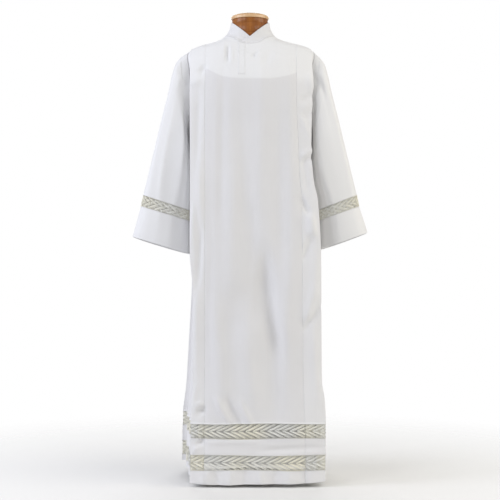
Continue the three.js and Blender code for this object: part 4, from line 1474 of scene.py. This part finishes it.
for hand, name in ((-1, "left"), (1, "right")):
    upper = np.concatenate([np.linspace(0, 1, 9)[:-1], np.linspace(1, LACE_RING, 92)[:-1]])
    edge = LACE_RING - np.array([0.11, 0.085, 0.06, 0.03, 0.005])
    grid, centre = sleeve_points(hand, np.concatenate([upper[upper < LACE_RING - 0.12], edge]))
    # A sleeve is one layer of cloth: its full lighter tone here is painted light, standing for the side light
    # on the sleeves.
    sleeve = sheet_object(name + "_sleeve_cloth", grid, 1.0, centre, True)
    riding(sleeve, name + "_sleeve", CLOTH)
    out = grid_normals(grid, centre, True)
    closed_ring = list(range(RING_STEPS)) + [0]
    lines = [(grid[-3][closed_ring], out[-3][closed_ring])]
    places = np.concatenate([[0.005, 0.02, 0.04, 0.06], np.linspace(0.1, 0.9, 18), [0.94, 0.96, 0.985, 1]])
    cuff_grid, cuff_centre = sleeve_points(hand, CUFF_RING + places)
    cuff = sheet_object(name + "_cuff_cloth", cuff_grid, 0.9, cuff_centre, True)
    riding(cuff, name + "_cuff", CLOTH)
    out = grid_normals(cuff_grid, cuff_centre, True)
    lines.append((cuff_grid[3][closed_ring], out[3][closed_ring]))
    lines.append((cuff_grid[-5][closed_ring], out[-5][closed_ring]))
    lace_grid, lace_centre = sleeve_points(hand, np.array([LACE_RING, CUFF_RING], float))

    def cuff_gold(points, place):
        return smooth(0.62 + 0.3 * np.sin(place / 37 + 0.7))

    lace_name = name + "_cuff_lace_thread"
    lace = lace_object(lace_name, CUFF_LACE, lace_grid[0], lace_grid[1], lace_centre[0], cuff_gold, True)
    riding(lace, name + "_cuff_lace")
    riding(stitched(name + "_sleeve_stitches", lines), None)


# ---------- Dress form ----------

def turned(name, profile, segments=96):
    """A turned piece: its profile runs up the outside from axis to axis."""
    profile = np.array(profile, float)
    turns = np.arange(segments) * 2 * math.pi / segments
    rings = profile[1:-1]
    points = [(r * math.cos(t), r * math.sin(t), z) for r, z in rings for t in turns]
    points += [(0, 0, profile[0][1]), (0, 0, profile[-1][1])]
    foot, top = len(points) - 2, len(points) - 1
    faces = []
    for i in range(len(rings) - 1):
        for j in range(segments):
            k = (j + 1) % segments
            faces.append((i * segments + j, i * segments + k, (i + 1) * segments + k, (i + 1) * segments + j))
    last = (len(rings) - 1) * segments
    for j in range(segments):
        k = (j + 1) % segments
        faces.append((foot, k, j))
        faces.append((top, last + j, last + k))
    return new_object(name, points, faces)


def rounded(radius, height, bevel, start, end, steps=5):
    """Profile points round a bevelled corner."""
    turns = np.radians(np.linspace(start, end, steps))
    return [(radius + bevel * math.cos(t), height + bevel * math.sin(t)) for t in turns]


neck_profile = [
    (0, 1505.3), *rounded(61, 1506.3, 1, -90, 0),
    (62, 1524.8), (61.7, 1525.4), (61.1, 1525.8), (61.1, 1526.2), (61.7, 1526.6), (62, 1527.2),
    (62, 1557.4), (61.75, 1557.7), (61.75, 1558.1), (62, 1558.4),
    *rounded(60.8, 1574.5, 1.2, 0, 90), (0, 1575.7),
]
neck = turned("neck_block", neck_profile)
riding(neck, "form_neck", NECK_WOOD_PAINTED_SHADE)
dome = [(65 * math.cos(t), 1584 + 14 * math.sin(t)) for t in np.radians(np.linspace(3, 86, 18))]
cap = turned("neck_cap", [(0, 1576), *rounded(63.2, 1577.8, 1.8, -90, 0), (65, 1583.6), *dome, (0, 1598)])
riding(cap, "form_cap", CAP_WOOD_PAINTED_LIGHT)


SEAM_GROOVE = SimpleNamespace(depth=0.012, width=1.6)


def torso_cover():
    """The form's padded torso in its knitted cover, with the cover's upright seams."""
    segments, count = 96, 90
    turns = np.arange(segments) * 2 * math.pi / segments
    heights = np.linspace(TORSO["height"][0], TORSO["height"][-1], count)
    points = []
    for height in heights:
        square = float(read(TORSO, "square", height))
        x = float(read(TORSO, "half", height)) * signed_power(np.cos(turns), 2 / square)
        deep = signed_power(np.sin(turns), 2 / square)
        front, back = float(read(TORSO, "front", height)), float(read(TORSO, "back", height))
        y = deep * np.where(deep < 0, front, back)
        seam = np.minimum(np.abs(x), np.abs(np.abs(x) - 0.5 * read(TORSO, "half", height)))
        groove = 1 - SEAM_GROOVE.depth * np.exp(-((seam / SEAM_GROOVE.width) ** 2))
        points.append(np.stack([x * groove, y * groove, 0 * x + height], -1))
    points = np.concatenate(points)
    faces = [tuple(range(segments)), tuple((count - 1) * segments + k for k in reversed(range(segments)))]
    for i in range(count - 1):
        for j in range(segments):
            k = (j + 1) % segments
            faces.append((i * segments + k, i * segments + j, (i + 1) * segments + j, (i + 1) * segments + k))
    return new_object("torso_cover", points, faces)


torso = torso_cover()
riding(torso, "form_torso", COVER)
for node, finish in (("stand_pole", STEEL), ("stand_base", IRON)):
    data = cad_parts[node].data
    data.materials.clear()
    data.materials.append(finish)

# ---------- Studio ----------

CAMERA_DISTANCE, CAMERA_HEIGHT, LENS, SENSOR = 4.175, 0.785, 87.27, 36
camera_data = bpy.data.cameras.new("camera")
camera_data.lens = LENS
camera_data.sensor_width = SENSOR
camera_data.clip_end = 100
camera = bpy.data.objects.new("camera", camera_data)
camera.location = (0, -CAMERA_DISTANCE, CAMERA_HEIGHT)
camera.rotation_euler = (math.pi / 2, 0, 0)
bpy.context.scene.collection.objects.link(camera)
bpy.context.scene.camera = camera


def area_light(name, place, aim, size, power, colour):
    data = bpy.data.lights.new(name, "AREA")
    data.shape = "RECTANGLE"
    data.size, data.size_y = size
    data.energy = power
    data.color = colour
    lamp = bpy.data.objects.new(name, data)
    lamp.location = place
    way = np.array(aim, float) - np.array(place, float)
    flat = math.hypot(way[0], way[1])
    lamp.rotation_euler = (math.atan2(flat, -way[2]), 0, math.atan2(-way[0], way[1]))
    bpy.context.scene.collection.objects.link(lamp)


AIM = (0, 0, 1.0)
area_light("left_side", (-3.3, -1.0, 1.9), AIM, (1.4, 2.0), 64, (0.84, 0.87, 1.0))
area_light("right_side", (3.3, -1.0, 1.7), AIM, (2.0, 2.2), 54, (1.0, 0.95, 0.84))
area_light("left_front", (-2.5, -2.9, 2.3), AIM, (1.3, 1.5), 31, (0.95, 0.96, 1.0))
area_light("right_front", (2.5, -2.9, 2.3), AIM, (1.6, 1.6), 23, (1.0, 0.985, 0.95))
area_light("top_soft", (0, -0.9, 3.4), (0, 0, 1.4), (2.4, 1.6), 6, (1, 1, 1))
area_light("back_soft", (0, 3.4, 2.0), AIM, (3.0, 2.2), 60, (1, 1, 1))


def studio_world():
    """Even light from all round; the camera sees it white."""
    world = bpy.data.worlds.new("studio")
    world.use_nodes = True
    tree = world.node_tree
    tree.nodes.clear()
    graph = Graph(tree)
    light = graph.node("ShaderNodeBackground", {}, {"Color": tone(0.985, 0.985, 1.0), "Strength": 0.44})
    seen = graph.node("ShaderNodeBackground", {}, {"Color": tone(1, 1, 1), "Strength": 1.0})
    rays = graph.node("ShaderNodeLightPath", {}, {}, "Is Camera Ray")
    both = graph.node("ShaderNodeMixShader", {}, {0: rays, 1: light, 2: seen})
    graph.node("ShaderNodeOutputWorld", {}, {"Surface": both})
    bpy.context.scene.world = world


studio_world()


FLOOR_FULL, FLOOR_FADE = 0.5, 1.2  # metres from the middle, and over what length it fades


def floor_paint(graph):
    parts = graph.node("ShaderNodeSeparateXYZ", {}, {0: graph.object_place()})
    far = (parts * parts + parts.other("Y") * parts.other("Y")) ** 0.5
    return {"Alpha": (1 - (far - FLOOR_FULL) / FLOOR_FADE).clamped()}


FLOOR_HALF = 3000
floor_corners = [(x * FLOOR_HALF, y * FLOOR_HALF, 0) for x, y in ((-1, -1), (1, -1), (1, 1), (-1, 1))]
floor = new_object("floor", floor_corners, [(0, 1, 2, 3)])
FLOOR_TONE = tone(0.80, 0.795, 0.78)
FLOOR = material("floor_paint", floor_paint, Base_Color=FLOOR_TONE, Roughness=0.9, Specular_IOR_Level=0.1)
floor.data.materials.append(FLOOR)
bpy.context.scene.view_settings.view_transform = "Standard"
